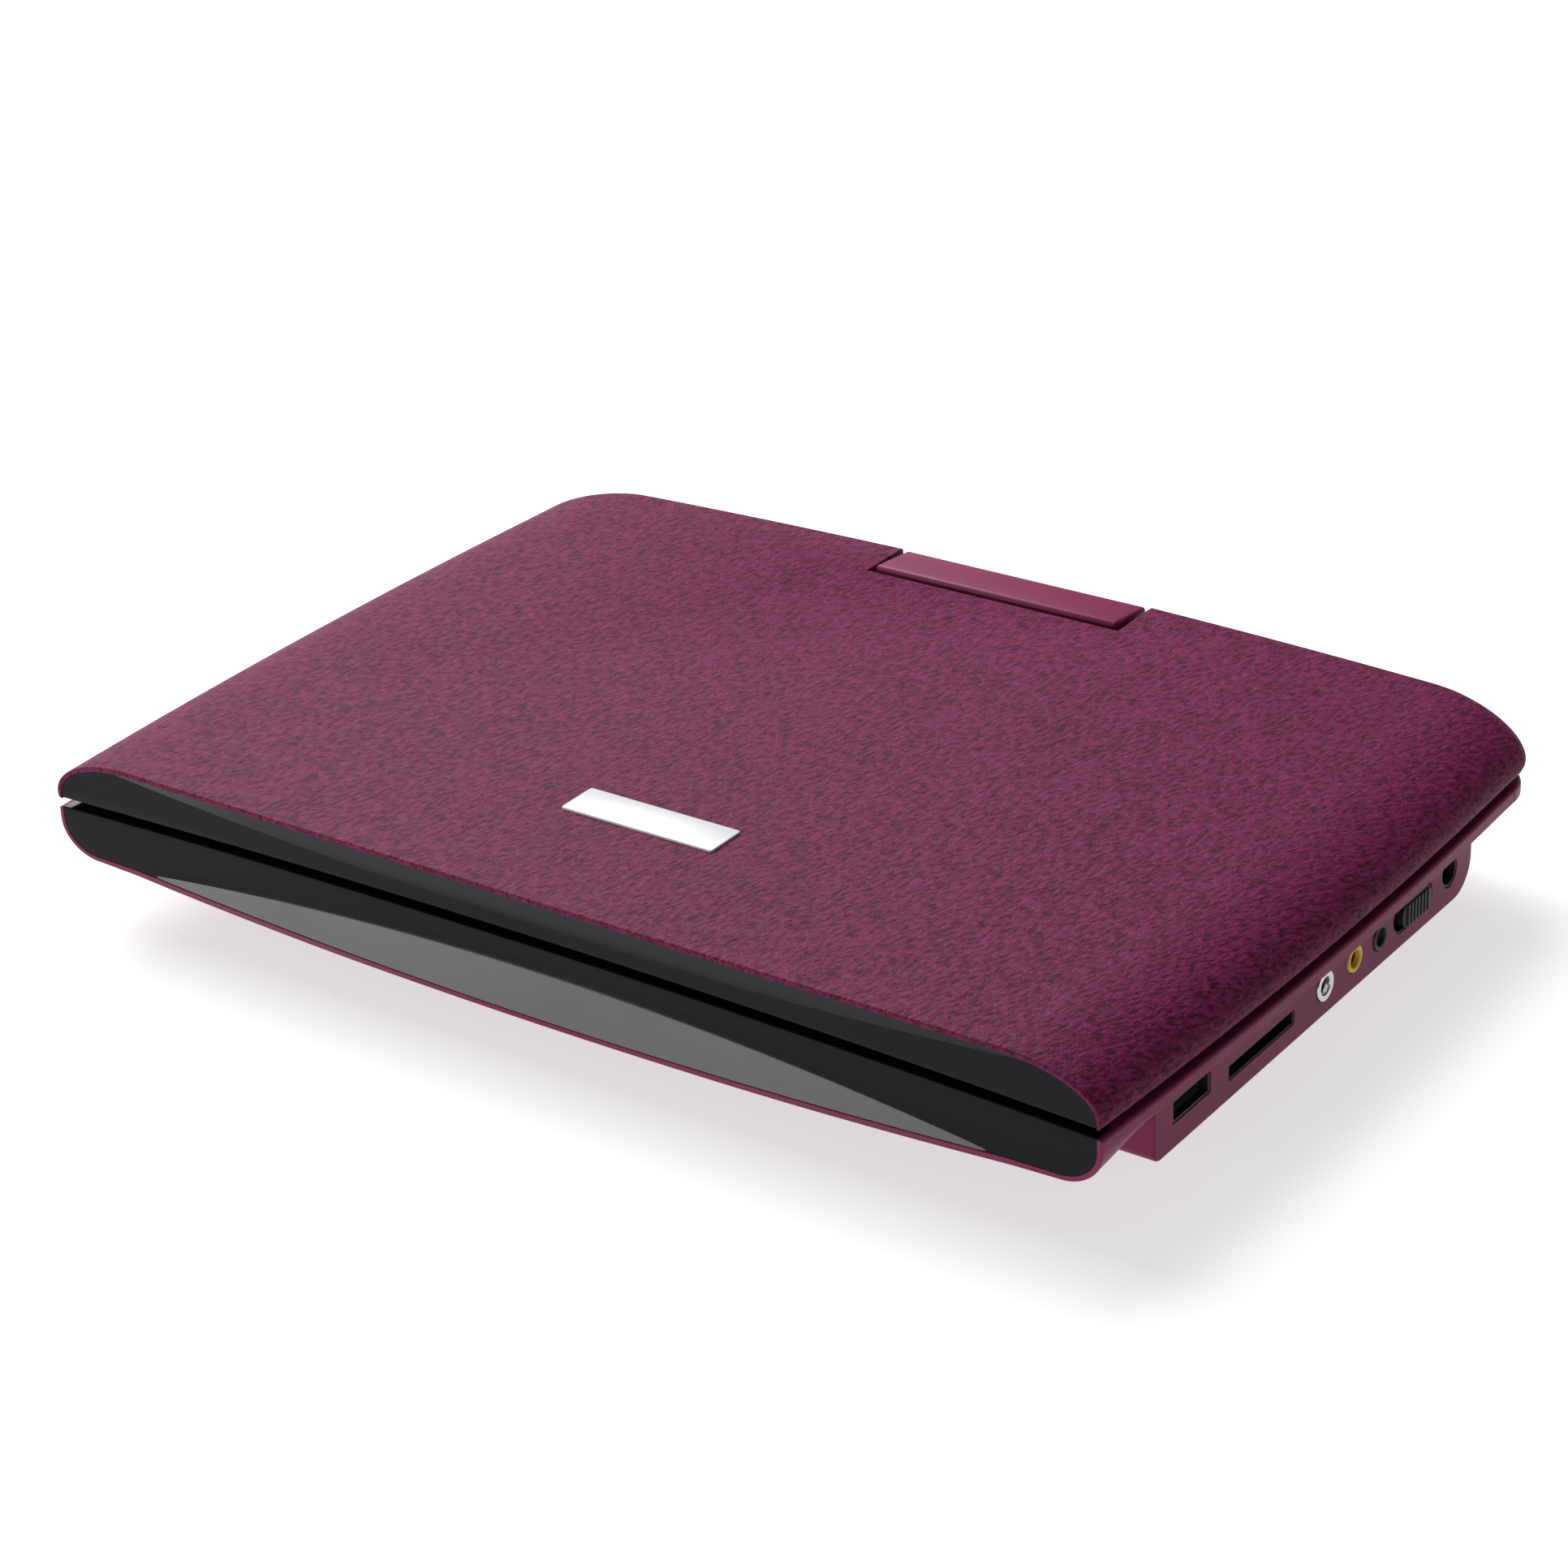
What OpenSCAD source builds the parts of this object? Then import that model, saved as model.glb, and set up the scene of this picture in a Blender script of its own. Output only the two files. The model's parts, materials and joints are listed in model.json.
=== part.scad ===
// Portable DVD player with a swivel-hinge screen, closed.
// Millimetres. +Z up, front face towards -Y, origin at the middle of the footprint on the floor.

/* [Case] */
// Largest width of the case, half way back
body_w = 257; // [250:1:265]
// Depth of the case from the front lip to the middle of the rear edge
body_d = 176; // [172:1:182]
// Height of the screen lid's top above the floor
lid_top = 37; // [36:0.5:40]
// Height of the lid's lower edge
lid_bottom = 26.8; // [26.4:0.1:27]
// Height of the base's deck
deck_top = 24; // [23.8:0.1:24.2]
// How much each side bulges outward between its front and rear corners
side_bulge = 2.7; // [0:0.1:4]
// Radius of the rear edge seen from above
rear_radius = 1250; // [800:50:1500]
// Radius of the rear corners seen from above
rear_corner = 8; // [6:1:14]
// Wall thickness of the mouldings
wall = 2; // [1.6:0.1:2.2]

/* [Front face] */
// Depth of the finger scoop in the middle of the seam
scoop = 3.5; // [1:0.1:4]
// Width of the plum lip round the black trims
lip = 1.1; // [0.8:0.1:1.4]
// Thickness of the black trims
trim_t = 1.4; // [1:0.1:1.5]

/* [Disc bay] */
// Sideways place of the spindle
bay_x = -22; // [-24:1:-20]
// Front-to-back place of the spindle
bay_y = -6; // [-7:1:-5]
// Radius of the disc bay
bay_r = 62; // [61:0.5:62]
// Radius of the disc's centre hole, held by the turntable
disc_hole_r = 7.45; // [7.4:0.01:7.5]

/* [Hinge] */
// Half width of the hinge block
block_hw = 31; // [30:0.5:32]
// Distance of the tilt axis behind the middle
tilt_y = 86; // [85.5:0.1:86]
// Height of the tilt axis
tilt_z = 27; // [26.8:0.1:27.2]
// Radius of the hinge pins
pin_r = 1; // [0.8:0.05:1.1]

/* [Sockets] */
// Bore radius of the three 3.5 mm sockets
jack_bore = 1.8; // [1.78:0.01:1.85]
// Bore radius of the power inlet
dc_bore = 2.8; // [2.7:0.05:3]

/* [Clearances] */
// Gap round keys and covers
gap = 0.3; // [0.25:0.05:0.4]
// Radial clearance of a running shaft
run = 0.05; // [0.03:0.01:0.08]

/* [Hidden] */
$fn = 48;

eps = 0.01;
plum = [0.47, 0.2, 0.33];
leather = [0.43, 0.17, 0.29];
gloss_black = [0.05, 0.05, 0.06];
dark = [0.12, 0.12, 0.13];
steel = [0.7, 0.71, 0.73];
board_green = [0.1, 0.35, 0.2];

hw = body_w / 2;
front_y = -body_d / 2;
rear_y0 = body_d / 2;
front_hw = hw - side_bulge;
rim_corner_z = 21.5;
foot_h = 0.8;

// Plan outline: bulging sides, a straight front and an arched rear edge with round corners.
function side_x(y, w) = w - side_bulge * pow(2 * y / body_d, 2);
function rear_y(x, r) = r - x * x / (2 * rear_radius);
function corner_cx(w, r, rc) = side_x(r - 7 - rc, w) - rc * cos(3);
function corner_cy(w, r, rc) =
  rear_y(corner_cx(w, r, rc) + rc * cos(83.5), r) - rc * sin(83.5);
function right_half(w, f, r, rc) =
  let (cx = corner_cx(w, r, rc), cy = corner_cy(w, r, rc))
  let (side_end = cy + rc * sin(3), rear_end = cx + rc * cos(83.5))
  concat(
    [for (i = [0:7]) let (y = f + (side_end - f) * i / 7) [side_x(y, w), y]],
    [for (i = [1:7]) let (a = 3 + 80.5 * i / 7) [cx + rc * cos(a), cy + rc * sin(a)]],
    [for (i = [1:6]) let (x = rear_end * (1 - i / 6)) [x, rear_y(x, r)]]
  );
function outline(w, f, r, rc) =
  let (half = right_half(w, f, r, rc))
  concat(half, [for (i = [len(half) - 2:-1:0]) [-half[i][0], half[i][1]]]);

// Rectangle with round corners, anticlockwise.
function round_rect(x0, x1, y0, y1, r) = [
  for (c = [[x1, y0, -90], [x1, y1, 0], [x0, y1, 90], [x0, y0, 180]], i = [0:4])
    let (a = c[2] + 22.5 * i)
    [
      c[0] + (c[0] == x1 ? -r : r) + r * cos(a),
      c[1] + (c[1] == y1 ? -r : r) + r * sin(a)
    ]
];

// Solid through plan outlines stacked from the bottom up: levels = [[z, outline], ...].
module loft(levels) {
  n = len(levels[0][1]);
  last = len(levels) - 1;
  polyhedron(
    points = [for (l = levels, p = l[1]) [p[0], p[1], l[0]]],
    faces = concat(
      [[for (i = [0:n - 1]) i]],
      [[for (i = [n - 1:-1:0]) last * n + i]],
      [for (l = [0:last - 1], i = [0:n - 1])
        let (a = l * n + i, b = l * n + (i + 1) % n) [a, a + n, b + n]],
      [for (l = [0:last - 1], i = [0:n - 1])
        let (a = l * n + i, b = l * n + (i + 1) % n) [a, b + n, b]]
    )
  );
}

module box(a, b) {
  translate(a) cube(b - a);
}

module rod_x(x0, x1, y, z, r) {
  translate([x0, y, z]) rotate([0, 90, 0]) cylinder(r = r, h = x1 - x0);
}

module rod_y(y0, y1, x, z, r) {
  translate([x, y0, z]) rotate([-90, 0, 0]) cylinder(r = r, h = y1 - y0);
}

module rod_z(z0, z1, x, y, r) {
  translate([x, y, z0]) cylinder(r = r, h = z1 - z0);
}

// ---- Case surfaces ----

// Half width of the dish at a height, at the front face: a shallow arc, then a rolled edge.
keel_z = 9.6;
keel_rise = 3.6;
keel_hw = 117;
roll_a = 9.8;
roll_b = rim_corner_z - keel_z - keel_rise;
function dish_x(z) =
  z < keel_z + keel_rise
    ? keel_hw * sqrt(max(z - keel_z, 0.05) / keel_rise)
    : front_hw - roll_a
      + roll_a * sqrt(max(0, 1 - pow(max(0, rim_corner_z - z) / roll_b, 2)));
// Rear edge of the dish at a height.
function dish_rear(z) =
  z < keel_z + keel_rise
    ? 60 + 13 * (z - keel_z) / keel_rise
    : 73.8 + (rear_y0 - 73.8) * sqrt(max(0, 1 - pow(max(0, 22.3 - z) / 9.1, 2)));
rim_round = [[23.3, 0.2, 0.5], [deck_top, 0.8, 1.5]];
dish_levels = [9.7, 10.2, 11, 12.2, 13.2, 13.9, 15.2, 17, 19.5, 22.3];

module dish_solid(inset) {
  loft(concat(
    [for (z = dish_levels)
      [z + inset * 0.9, outline(
        dish_x(z) + side_bulge - inset,
        front_y + (inset > 0 ? scoop + trim_t + 1.5 : 0),
        dish_rear(z) - inset,
        rear_corner
      )]],
    [for (l = rim_round)
      [l[0] + (inset > 0 ? 1 : 0), outline(
        hw - l[1] - inset,
        front_y + (inset > 0 ? scoop + trim_t + 1.5 : 0),
        rear_y0 - l[2] - inset,
        rear_corner
      )]]
  ));
}

belly_hw = 118.6;
belly_front = -58;
belly_rear = 69;
belly_front_r = 2.4;
belly_rear_r = 7.5;
belly_top = 17;
panel_top = 13.1;

// Side outline of the belly, with round bottom corners: [y, z].
function belly_side(inset) = concat(
  [for (i = [0:4])
    let (a = 180 + 22.5 * i)
    [
      belly_front + belly_front_r + (belly_front_r - inset) * cos(a),
      foot_h + belly_front_r + (belly_front_r - inset) * sin(a)
    ]],
  [for (i = [0:6])
    let (a = 270 + 15 * i)
    [
      belly_rear - belly_rear_r + (belly_rear_r - inset) * cos(a),
      foot_h + belly_rear_r + (belly_rear_r - inset) * sin(a)
    ]],
  [[belly_rear - inset, belly_top], [belly_front + inset, belly_top]]
);

module belly_solid() {
  rotate([90, 0, 90])
    loft([
      for (l = [[-belly_hw, 0.5], [0.5 - belly_hw, 0], [belly_hw - 0.5, 0], [belly_hw, 0.5]])
        [l[0], belly_side(l[1])]
    ]);
}

module belly_hollow() {
  translate([0, 0, -0.4])
    rotate([90, 0, 90])
      loft([for (x = [wall - belly_hw, belly_hw - wall]) [x, belly_side(wall)]]);
  box(
    [wall - belly_hw, belly_front + wall, belly_top - 3],
    [belly_hw - wall, belly_rear - wall, belly_top + 1]
  );
}

// Front face outline of the dish, seen from the front.
module dish_front_2d(inset) {
  top = deck_top + 1;
  corner = [for (i = [0:8])
    let (a = 10 * i)
    [
      front_hw - roll_a + (roll_a - inset) * cos(a),
      rim_corner_z - (roll_b - inset) * sin(a)
    ]];
  keel = [for (i = [0:12])
    let (x = (keel_hw - inset) * (1 - i / 6))
    [x, keel_z + inset + keel_rise * pow(x / keel_hw, 2)]];
  polygon(concat(
    [[front_hw - inset, top]],
    corner,
    keel,
    [for (i = [8:-1:0]) [-corner[i][0], corner[i][1]]],
    [[inset - front_hw, top]]
  ));
}

// Region in front of the scooped face, pushed back by "back".
module scoop_region(z0, z1, back) {
  pts = [for (i = [0:24])
    let (x = front_hw * (i / 12 - 1))
    [x, front_y + back + scoop * (1 - pow(x / front_hw, 2))]];
  translate([0, 0, z0])
    linear_extrude(z1 - z0)
      polygon(concat([[-front_hw - 5, front_y - 8], [-front_hw - 5, front_y + back]],
        pts,
        [[front_hw + 5, front_y + back], [front_hw + 5, front_y - 8]]));
}

// Space above the sloped lower half of the base's front face.
slope = 0.35;
module above_slope() {
  low = keel_z + 0.8;
  translate([-hw - 5, 0, 0])
    rotate([90, 0, 90])
      linear_extrude(body_w + 10)
        polygon([
          [front_y - 8, low],
          [front_y, low],
          [front_y + slope * 20, low + 20],
          [front_y - 8, low + 20]
        ]);
}

module front_prism(y0, y1) {
  translate([0, y1, 0]) rotate([90, 0, 0]) linear_extrude(y1 - y0) children();
}

module base_scoop(back) {
  intersection() {
    scoop_region(keel_z, deck_top + 3, back);
    above_slope();
  }
}

base_bosses = [[-108, -49], [-108, 55], [60, -50], [60, 56], [-46, 56]];
foot_places = [[-96, -52], [96, -52], [-96, 56], [96, 56]];
foot_r = 4.5;

module base_tub() {
  difference() {
    union() {
      dish_solid(0);
      belly_solid();
    }
    dish_solid(wall);
    belly_hollow();
    intersection() {
      scoop_region(keel_z, deck_top + 3, 0.2 + trim_t);
      front_prism(front_y - 8, front_y + 12) dish_front_2d(lip);
    }
    base_scoop(0);
    box([-front_hw, front_y - 5, deck_top - eps], [front_hw, front_y + scoop + 3, deck_top + 5]);
  }
}

// ---- Sockets on the right side of the belly ----

usb = [-44.5, 8.65];
card = [-18.2, 6.6];
phones = [6.5, 7.4];
av_out = [18.5, 7.7];
av_in = [29.2, 7.5];
power_slot = [43.2, 7.6];
dc_in = [59.1, 8.4];
phones_r = 3.2;
av_r = 2.9;
slot_l = 16.6;
slot_h = 6.8;

module stadium_x(x0, x1, y, z, l, h) {
  r = h / 2;
  rod_x(x0, x1, y - l / 2 + r, z, r);
  rod_x(x0, x1, y + l / 2 - r, z, r);
  box([x0, y - l / 2 + r, z - r], [x1, y + l / 2 - r, z + r]);
}

module port_cuts() {
  x0 = belly_hw - wall - 1;
  x1 = belly_hw + 2;
  box([x0, usb[0] - 6.9, usb[1] - 2.45], [x1, usb[0] + 6.9, usb[1] + 2.45]);
  box([x0, card[0] - 12.6, card[1] - 1.65], [x1, card[0] + 12.6, card[1] + 1.65]);
  rod_x(x0, x1, phones[0], phones[1], phones_r + 0.1);
  rod_x(x0, x1, av_out[0], av_out[1], av_r + 0.1);
  rod_x(x0, x1, av_in[0], av_in[1], av_r + 0.1);
  stadium_x(x0, x1, power_slot[0], power_slot[1], slot_l, slot_h);
  rod_x(x0, x1, dc_in[0], dc_in[1], 3.3);
}

battery_bay = [[-104, -46], [-48, 48]];
rear_split = 70;

module base_shell() {
  color(plum)
  difference() {
    union() {
      intersection() {
        base_tub();
        box([-200, -200, -1], [200, rear_split, 60]);
      }
      for (b = base_bosses) rod_z(foot_h + 0.6, 8, b[0], b[1], 4);
    }
    box([belly_hw - wall, -200, -1], [200, 200, panel_top]);
    for (f = foot_places) rod_z(-1, foot_h + 0.9, f[0], f[1], foot_r + 0.05);
    for (b = base_bosses) {
      rod_z(-1, 20, b[0], b[1], 1.4);
      rod_z(-1, 2.9, b[0], b[1], 2.8);
    }
    box(
      [battery_bay[0][0] - gap, battery_bay[0][1] - gap, -1],
      [battery_bay[1][0] + gap, battery_bay[1][1] + gap, 6]
    );
  }
}

module port_panel() {
  color(plum)
  difference() {
    intersection() {
      belly_solid();
      box([belly_hw - wall, -200, 0], [200, 200, panel_top]);
    }
    port_cuts();
  }
}

module base_front_trim() {
  color(gloss_black)
  difference() {
    intersection() {
      scoop_region(keel_z, deck_top, 0.2 + trim_t - 0.05);
      front_prism(front_y + 0.1, front_y + 12) dish_front_2d(lip + 0.1);
    }
    base_scoop(0.1);
  }
}

module rear_cover() {
  color(plum)
  difference() {
    intersection() {
      base_tub();
      box([-200, rear_split + 0.15, -1], [200, 200, 60]);
    }
    for (s = [-1, 1])
      box([s * 28.5 - 2.8, tilt_y - 2, 20.2], [s * 28.5 + 2.8, tilt_y + 9, 30]);
  }
}

module battery_cover() {
  color(plum)
  difference() {
    union() {
      box(concat(battery_bay[0], foot_h), concat(battery_bay[1], foot_h + 1.6));
      for (x = [-90, -62])
        box([x - 4, -45, foot_h + 1.6], [x + 4, -43.4, foot_h + 4]);
    }
    for (i = [0:4])
      box([-88, 34 + 2 * i, 0], [-64, 35 + 2 * i, foot_h + 0.5]);
    rod_z(0, foot_h + 0.8, -76, 27, 3.2);
  }
}

module rubber_feet() {
  color(dark)
  for (f = foot_places) rod_z(0, foot_h + 0.9, f[0], f[1], foot_r);
}

module case_screws() {
  color(steel)
  for (b = base_bosses) {
    difference() {
      rod_z(1.2, 2.85, b[0], b[1], 2.5);
      box([b[0] - 1.8, b[1] - 0.3, 0], [b[0] + 1.8, b[1] + 0.3, 1.8]);
      box([b[0] - 0.3, b[1] - 1.8, 0], [b[0] + 0.3, b[1] + 1.8, 1.8]);
    }
    rod_z(2.8, 14, b[0], b[1], 1.1);
  }
}

// ---- Deck ----

nav = [76, 8];
nav_r = 15.2;
small_keys = [
  ["play", 62, -20], ["stop", 82, -20], ["previous", 62, -36], ["next", 82, -36],
  ["menu", 72, 36]
];
key_l = 12;
key_w = 7;
speaker_y = -14;
speaker_x = 107.5;
pan_floor = 17.4;
ledge_z = 22.3;
disc_hinge_y = bay_y + 69.5;
disc_hinge_z = 22.6;

module key_shape(x, y, grow, z0, z1) {
  translate([0, 0, z0])
    linear_extrude(z1 - z0)
      polygon(round_rect(
        x - key_l / 2 - grow, x + key_l / 2 + grow,
        y - key_w / 2 - grow, y + key_w / 2 + grow, 2 + grow
      ));
}

module pan_opening(z0, z1) {
  rod_z(z0, z1, bay_x, bay_y, 15);
  box([bay_x, bay_y - 7.5, z0], [bay_x + bay_r - 1.2, bay_y + 7.5, z1]);
}

module deck_cover() {
  color(plum)
  difference() {
    union() {
      translate([0, 0, 22.2])
        linear_extrude(deck_top - 22.2)
          polygon(outline(
            hw - wall - 0.9, front_y + scoop + trim_t + 1.7, rear_y0 - wall - 1.7, rear_corner - 1
          ));
      rod_z(20.8, deck_top, bay_x, bay_y, bay_r + 5.2);
      rod_z(pan_floor - 1.4, 21, bay_x, bay_y, bay_r + 1.2);
      box([bay_x - 25, bay_y + 60, 20.6], [bay_x + 25, disc_hinge_y + 3.6, deck_top]);
      for (b = base_bosses) rod_z(8.2, 22.3, b[0], b[1], 3);
    }
    rod_z(pan_floor, deck_top + 1, bay_x, bay_y, bay_r);
    rod_z(ledge_z, deck_top + 1, bay_x, bay_y, bay_r + 4);
    pan_opening(10, 20);
    box([bay_x - 20.4, bay_y + 55, 20.9], [bay_x + 20.4, disc_hinge_y + 1.9, deck_top + 1]);
    rod_x(bay_x - 24, bay_x + 24, disc_hinge_y, disc_hinge_z, 0.8 + run);
    rod_z(20, 26, nav[0], nav[1], nav_r + gap);
    for (k = small_keys) key_shape(k[1], k[2], gap, 20, 26);
    for (s = [-1, 1])
      box([s * speaker_x - 6, speaker_y - 22, 20], [s * speaker_x + 6, speaker_y + 22, 26]);
    box([54, -71, 20], [70, -66, 26]);
    box([bay_x - 8.3, -80.1, 20], [bay_x + 8.3, -74.7, 26]);
    box([bay_x - 6.3, bay_y - 65, 20], [bay_x + 6.3, bay_y - 63.3, 23]);
    for (b = base_bosses) rod_z(7, 20.5, b[0], b[1], 1.15);
  }
}

module speaker_grilles() {
  color(dark)
  for (s = [-1, 1])
    difference() {
      box(
        [s * speaker_x - 5.9, speaker_y - 21.9, 22.6],
        [s * speaker_x + 5.9, speaker_y + 21.9, deck_top + 0.2]
      );
      for (i = [-6:6], j = [-1:1])
        rod_z(20, 26, s * speaker_x + 3.2 * j, speaker_y + 3.1 * i, 0.9);
    }
}

module speakers() {
  color(dark)
  for (s = [-1, 1])
    difference() {
      box([s * speaker_x - 7, speaker_y - 24, 14.6], [s * speaker_x + 7, speaker_y + 24, 21.9]);
      box([s * speaker_x - 5, speaker_y - 20, 19.5], [s * speaker_x + 5, speaker_y + 20, 26]);
    }
}

module indicator_window() {
  color(gloss_black)
  box([54.1, -70.9, 22.4], [69.9, -66.1, deck_top + 0.15]);
}

// ---- Boards, battery and sockets ----

board_top = 4.2;

module main_board() {
  color(board_green)
  union() {
    box([68, -54, 3], [114, 61, board_top]);
    box([74, -30, board_top - eps], [86, -16, board_top + 1.6]);
    box([74, 4, board_top - eps], [88, 18, board_top + 1.6]);
    for (i = [0:3]) rod_z(board_top - eps, board_top + 6, 78, 34 + 7 * i, 2.6);
  }
}

module battery_pack() {
  color([0.25, 0.4, 0.7])
  union() {
    for (i = [0:1])
      translate([0, 0, 3])
        linear_extrude(10)
          polygon(round_rect(-101 + 25.2 * i, -76.2 + 25.2 * i, -41, 43, 3));
  }
}

module usb_socket() {
  color(steel)
  union() {
    difference() {
      box([104, usb[0] - 6.8, board_top], [belly_hw - wall - 0.1, usb[0] + 6.8, usb[1] + 2.8]);
      box([105, usb[0] - 6.3, usb[1] - 2.4], [130, usb[0] + 6.3, usb[1] + 2.4]);
    }
    box([104.5, usb[0] - 5.6, usb[1] + 0.2], [113.6, usb[0] + 5.6, usb[1] + 1.9]);
  }
}

module card_socket() {
  color(dark)
  difference() {
    box([90, card[0] - 14, board_top], [belly_hw - wall - 0.1, card[0] + 14, 9.2]);
    box([92, card[0] - 12.5, card[1] - 1.5], [130, card[0] + 12.5, card[1] + 1.6]);
  }
}

module jack(at, nose_r, tint) {
  color(tint)
  difference() {
    union() {
      box([102.4, at[0] - 4.2, board_top], [belly_hw - wall - 0.1, at[0] + 4.2, at[1] + 3.6]);
      rod_x(110, belly_hw + 0.35, at[0], at[1], nose_r);
    }
    rod_x(104.6, belly_hw + 2, at[0], at[1], jack_bore);
  }
}

module headphone_jack() {
  jack(phones, phones_r, steel);
}

module av_out_jack() {
  jack(av_out, av_r, [0.85, 0.7, 0.1]);
}

module av_in_jack() {
  jack(av_in, av_r, dark);
}

module dc_jack() {
  color(dark)
  union() {
    difference() {
      box([104, dc_in[0] - 4.4, board_top], [belly_hw - wall - 0.1, dc_in[0] + 4.4, dc_in[1] + 4.2]);
      rod_x(106, 130, dc_in[0], dc_in[1], dc_bore);
    }
    rod_x(105, belly_hw - 2.6, dc_in[0], dc_in[1], 0.65);
  }
}

module power_switch() {
  color(steel)
  difference() {
    box([107, power_slot[0] - 8, board_top], [113.4, power_slot[0] + 8, 11.4]);
    box([110.5, power_slot[0] - 6, power_slot[1] - 1.5],
      [120, power_slot[0] + 6, power_slot[1] + 1.5]);
  }
}

knob_l = 12.4;
knob_h = 5.9;
knob_y = power_slot[0] + 0.9;
module power_knob() {
  color(dark)
  union() {
    stadium_x(115, belly_hw + 0.5, knob_y, power_slot[1], knob_l, knob_h);
    box([114, knob_y - 8, power_slot[1] - 4], [116.2, knob_y + 6.4, power_slot[1] + 4]);
    box([111.5, knob_y - 2, power_slot[1] - 1.2], [114.5, knob_y + 2, power_slot[1] + 1.2]);
    for (i = [-3:3])
      box([belly_hw + 0.4, knob_y + 1.4 * i - 0.35, power_slot[1] - 2.4],
        [belly_hw + 0.95, knob_y + 1.4 * i + 0.35, power_slot[1] + 2.4]);
  }
}

module key_board() {
  color(board_green)
  box([49, -44, 16.6], [98, 50, 17.8]);
}

module key_membrane() {
  color([0.6, 0.6, 0.62])
  union() {
    box([50, -43, 17.8], [97, 49, 18.6]);
    for (k = small_keys) rod_z(18.5, 19.5, k[1], k[2], 2.6);
    rod_z(18.5, 19.5, nav[0], nav[1], 2.6);
    for (a = [0:90:270]) rod_z(18.5, 19.5, nav[0] + 10.5 * cos(a), nav[1] + 10.5 * sin(a), 2.6);
  }
}

// ---- Disc drive ----

rod_z0 = 12;
rod_r = 1.5;
rod_dy = 20;
screw_y = bay_y - 27;
pickup_x = bay_x + 24;
chassis_z = 7.9;
damper_spots = [[-41, -39], [56, -39], [-41, 25], [56, 25]];

module drive_chassis() {
  color(steel)
  difference() {
    union() {
      box([-46, -44, chassis_z - 1.4], [62, 30, chassis_z]);
      for (s = [-1, 1], x = [-16, 54])
        box([x, bay_y + s * rod_dy - 3, chassis_z - eps], [x + 2.2, bay_y + s * rod_dy + 3, 15]);
      box([-6.4, screw_y - 3, chassis_z - eps], [-4.2, screw_y + 3, 15]);
    }
    for (s = [-1, 1]) rod_x(-20, 60, bay_y + s * rod_dy, rod_z0, rod_r + 0.02);
    rod_x(-20, 0, screw_y, rod_z0, rod_r + run);
    for (d = damper_spots) rod_z(0, 12, d[0], d[1], 2.1);
    box([-36, -36, 0], [-26, -24, 12]);
    box([10, -18, 0], [40, 6, 12]);
  }
}

module drive_dampers() {
  color(dark)
  for (d = damper_spots)
    difference() {
      union() {
        rod_z(foot_h + 1.6, chassis_z - 1.4, d[0], d[1], 3.6);
        rod_z(chassis_z - 1.5, chassis_z + 0.1, d[0], d[1], 2);
        rod_z(chassis_z, chassis_z + 1.2, d[0], d[1], 3.2);
      }
      rod_z(0, 12, d[0], d[1], 1);
    }
}

module spindle_motor() {
  color(steel)
  difference() {
    union() {
      rod_z(chassis_z, chassis_z + 1, bay_x, bay_y, 12);
      rod_z(chassis_z + 0.9, 14.2, bay_x, bay_y, 10.5);
    }
    rod_z(chassis_z + 0.6, 20, bay_x, bay_y, 1 + run);
  }
}

disc_seat = 20.1;
module turntable() {
  color(dark)
  union() {
    rod_z(chassis_z + 1, 16, bay_x, bay_y, 1);
    rod_z(14.6, 18.7, bay_x, bay_y, 8);
    rod_z(18.6, disc_seat, bay_x, bay_y, 13);
    rod_z(disc_seat - eps, 21.6, bay_x, bay_y, disc_hole_r);
    translate([bay_x, bay_y, 21.6 - eps]) cylinder(r1 = disc_hole_r, r2 = 6.4, h = 0.5, $fn = 48);
  }
}

module guide_rods() {
  color(steel)
  for (s = [-1, 1]) rod_x(-16.5, 57, bay_y + s * rod_dy, rod_z0, rod_r);
}

module optical_pickup() {
  color(dark)
  difference() {
    union() {
      box([pickup_x - 11, bay_y - 13, 9.5], [pickup_x + 11, bay_y + 13, 15.4]);
      box([pickup_x - 4, bay_y - 30.6, 9.5], [pickup_x + 4, bay_y + 23.4, 14.6]);
      rod_z(15, 18.4, pickup_x, bay_y, 4.5);
    }
    for (s = [-1, 1]) rod_x(-30, 60, bay_y + s * rod_dy, rod_z0, rod_r + run);
    rod_x(-30, 60, screw_y, rod_z0, rod_r + run);
    rod_z(17.6, 20, pickup_x, bay_y, 3);
  }
}

module pickup_lens() {
  color([0.6, 0.75, 0.9])
  union() {
    rod_z(17.6, 18.6, pickup_x, bay_y, 2.9);
    intersection() {
      translate([pickup_x, bay_y, 17]) sphere(r = 2.6);
      rod_z(18.5, 19.5, pickup_x, bay_y, 2);
    }
  }
}

module lead_screw() {
  color(steel)
  difference() {
    rod_x(-6, 52, screw_y, rod_z0, rod_r);
    for (i = [0:15])
      translate([1 + 3 * i, screw_y, rod_z0])
        rotate([0, 90, 0])
          rotate_extrude()
            translate([1.2, 0]) square([1, 0.8]);
  }
}

module sled_motor() {
  color(steel)
  difference() {
    union() {
      rod_x(49.2, 60.5, screw_y, rod_z0, 4);
      box([49.2, screw_y - 5, chassis_z + eps], [50.4, screw_y + 5, 16]);
    }
    rod_x(40, 56, screw_y, rod_z0, rod_r + run);
  }
}

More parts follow.
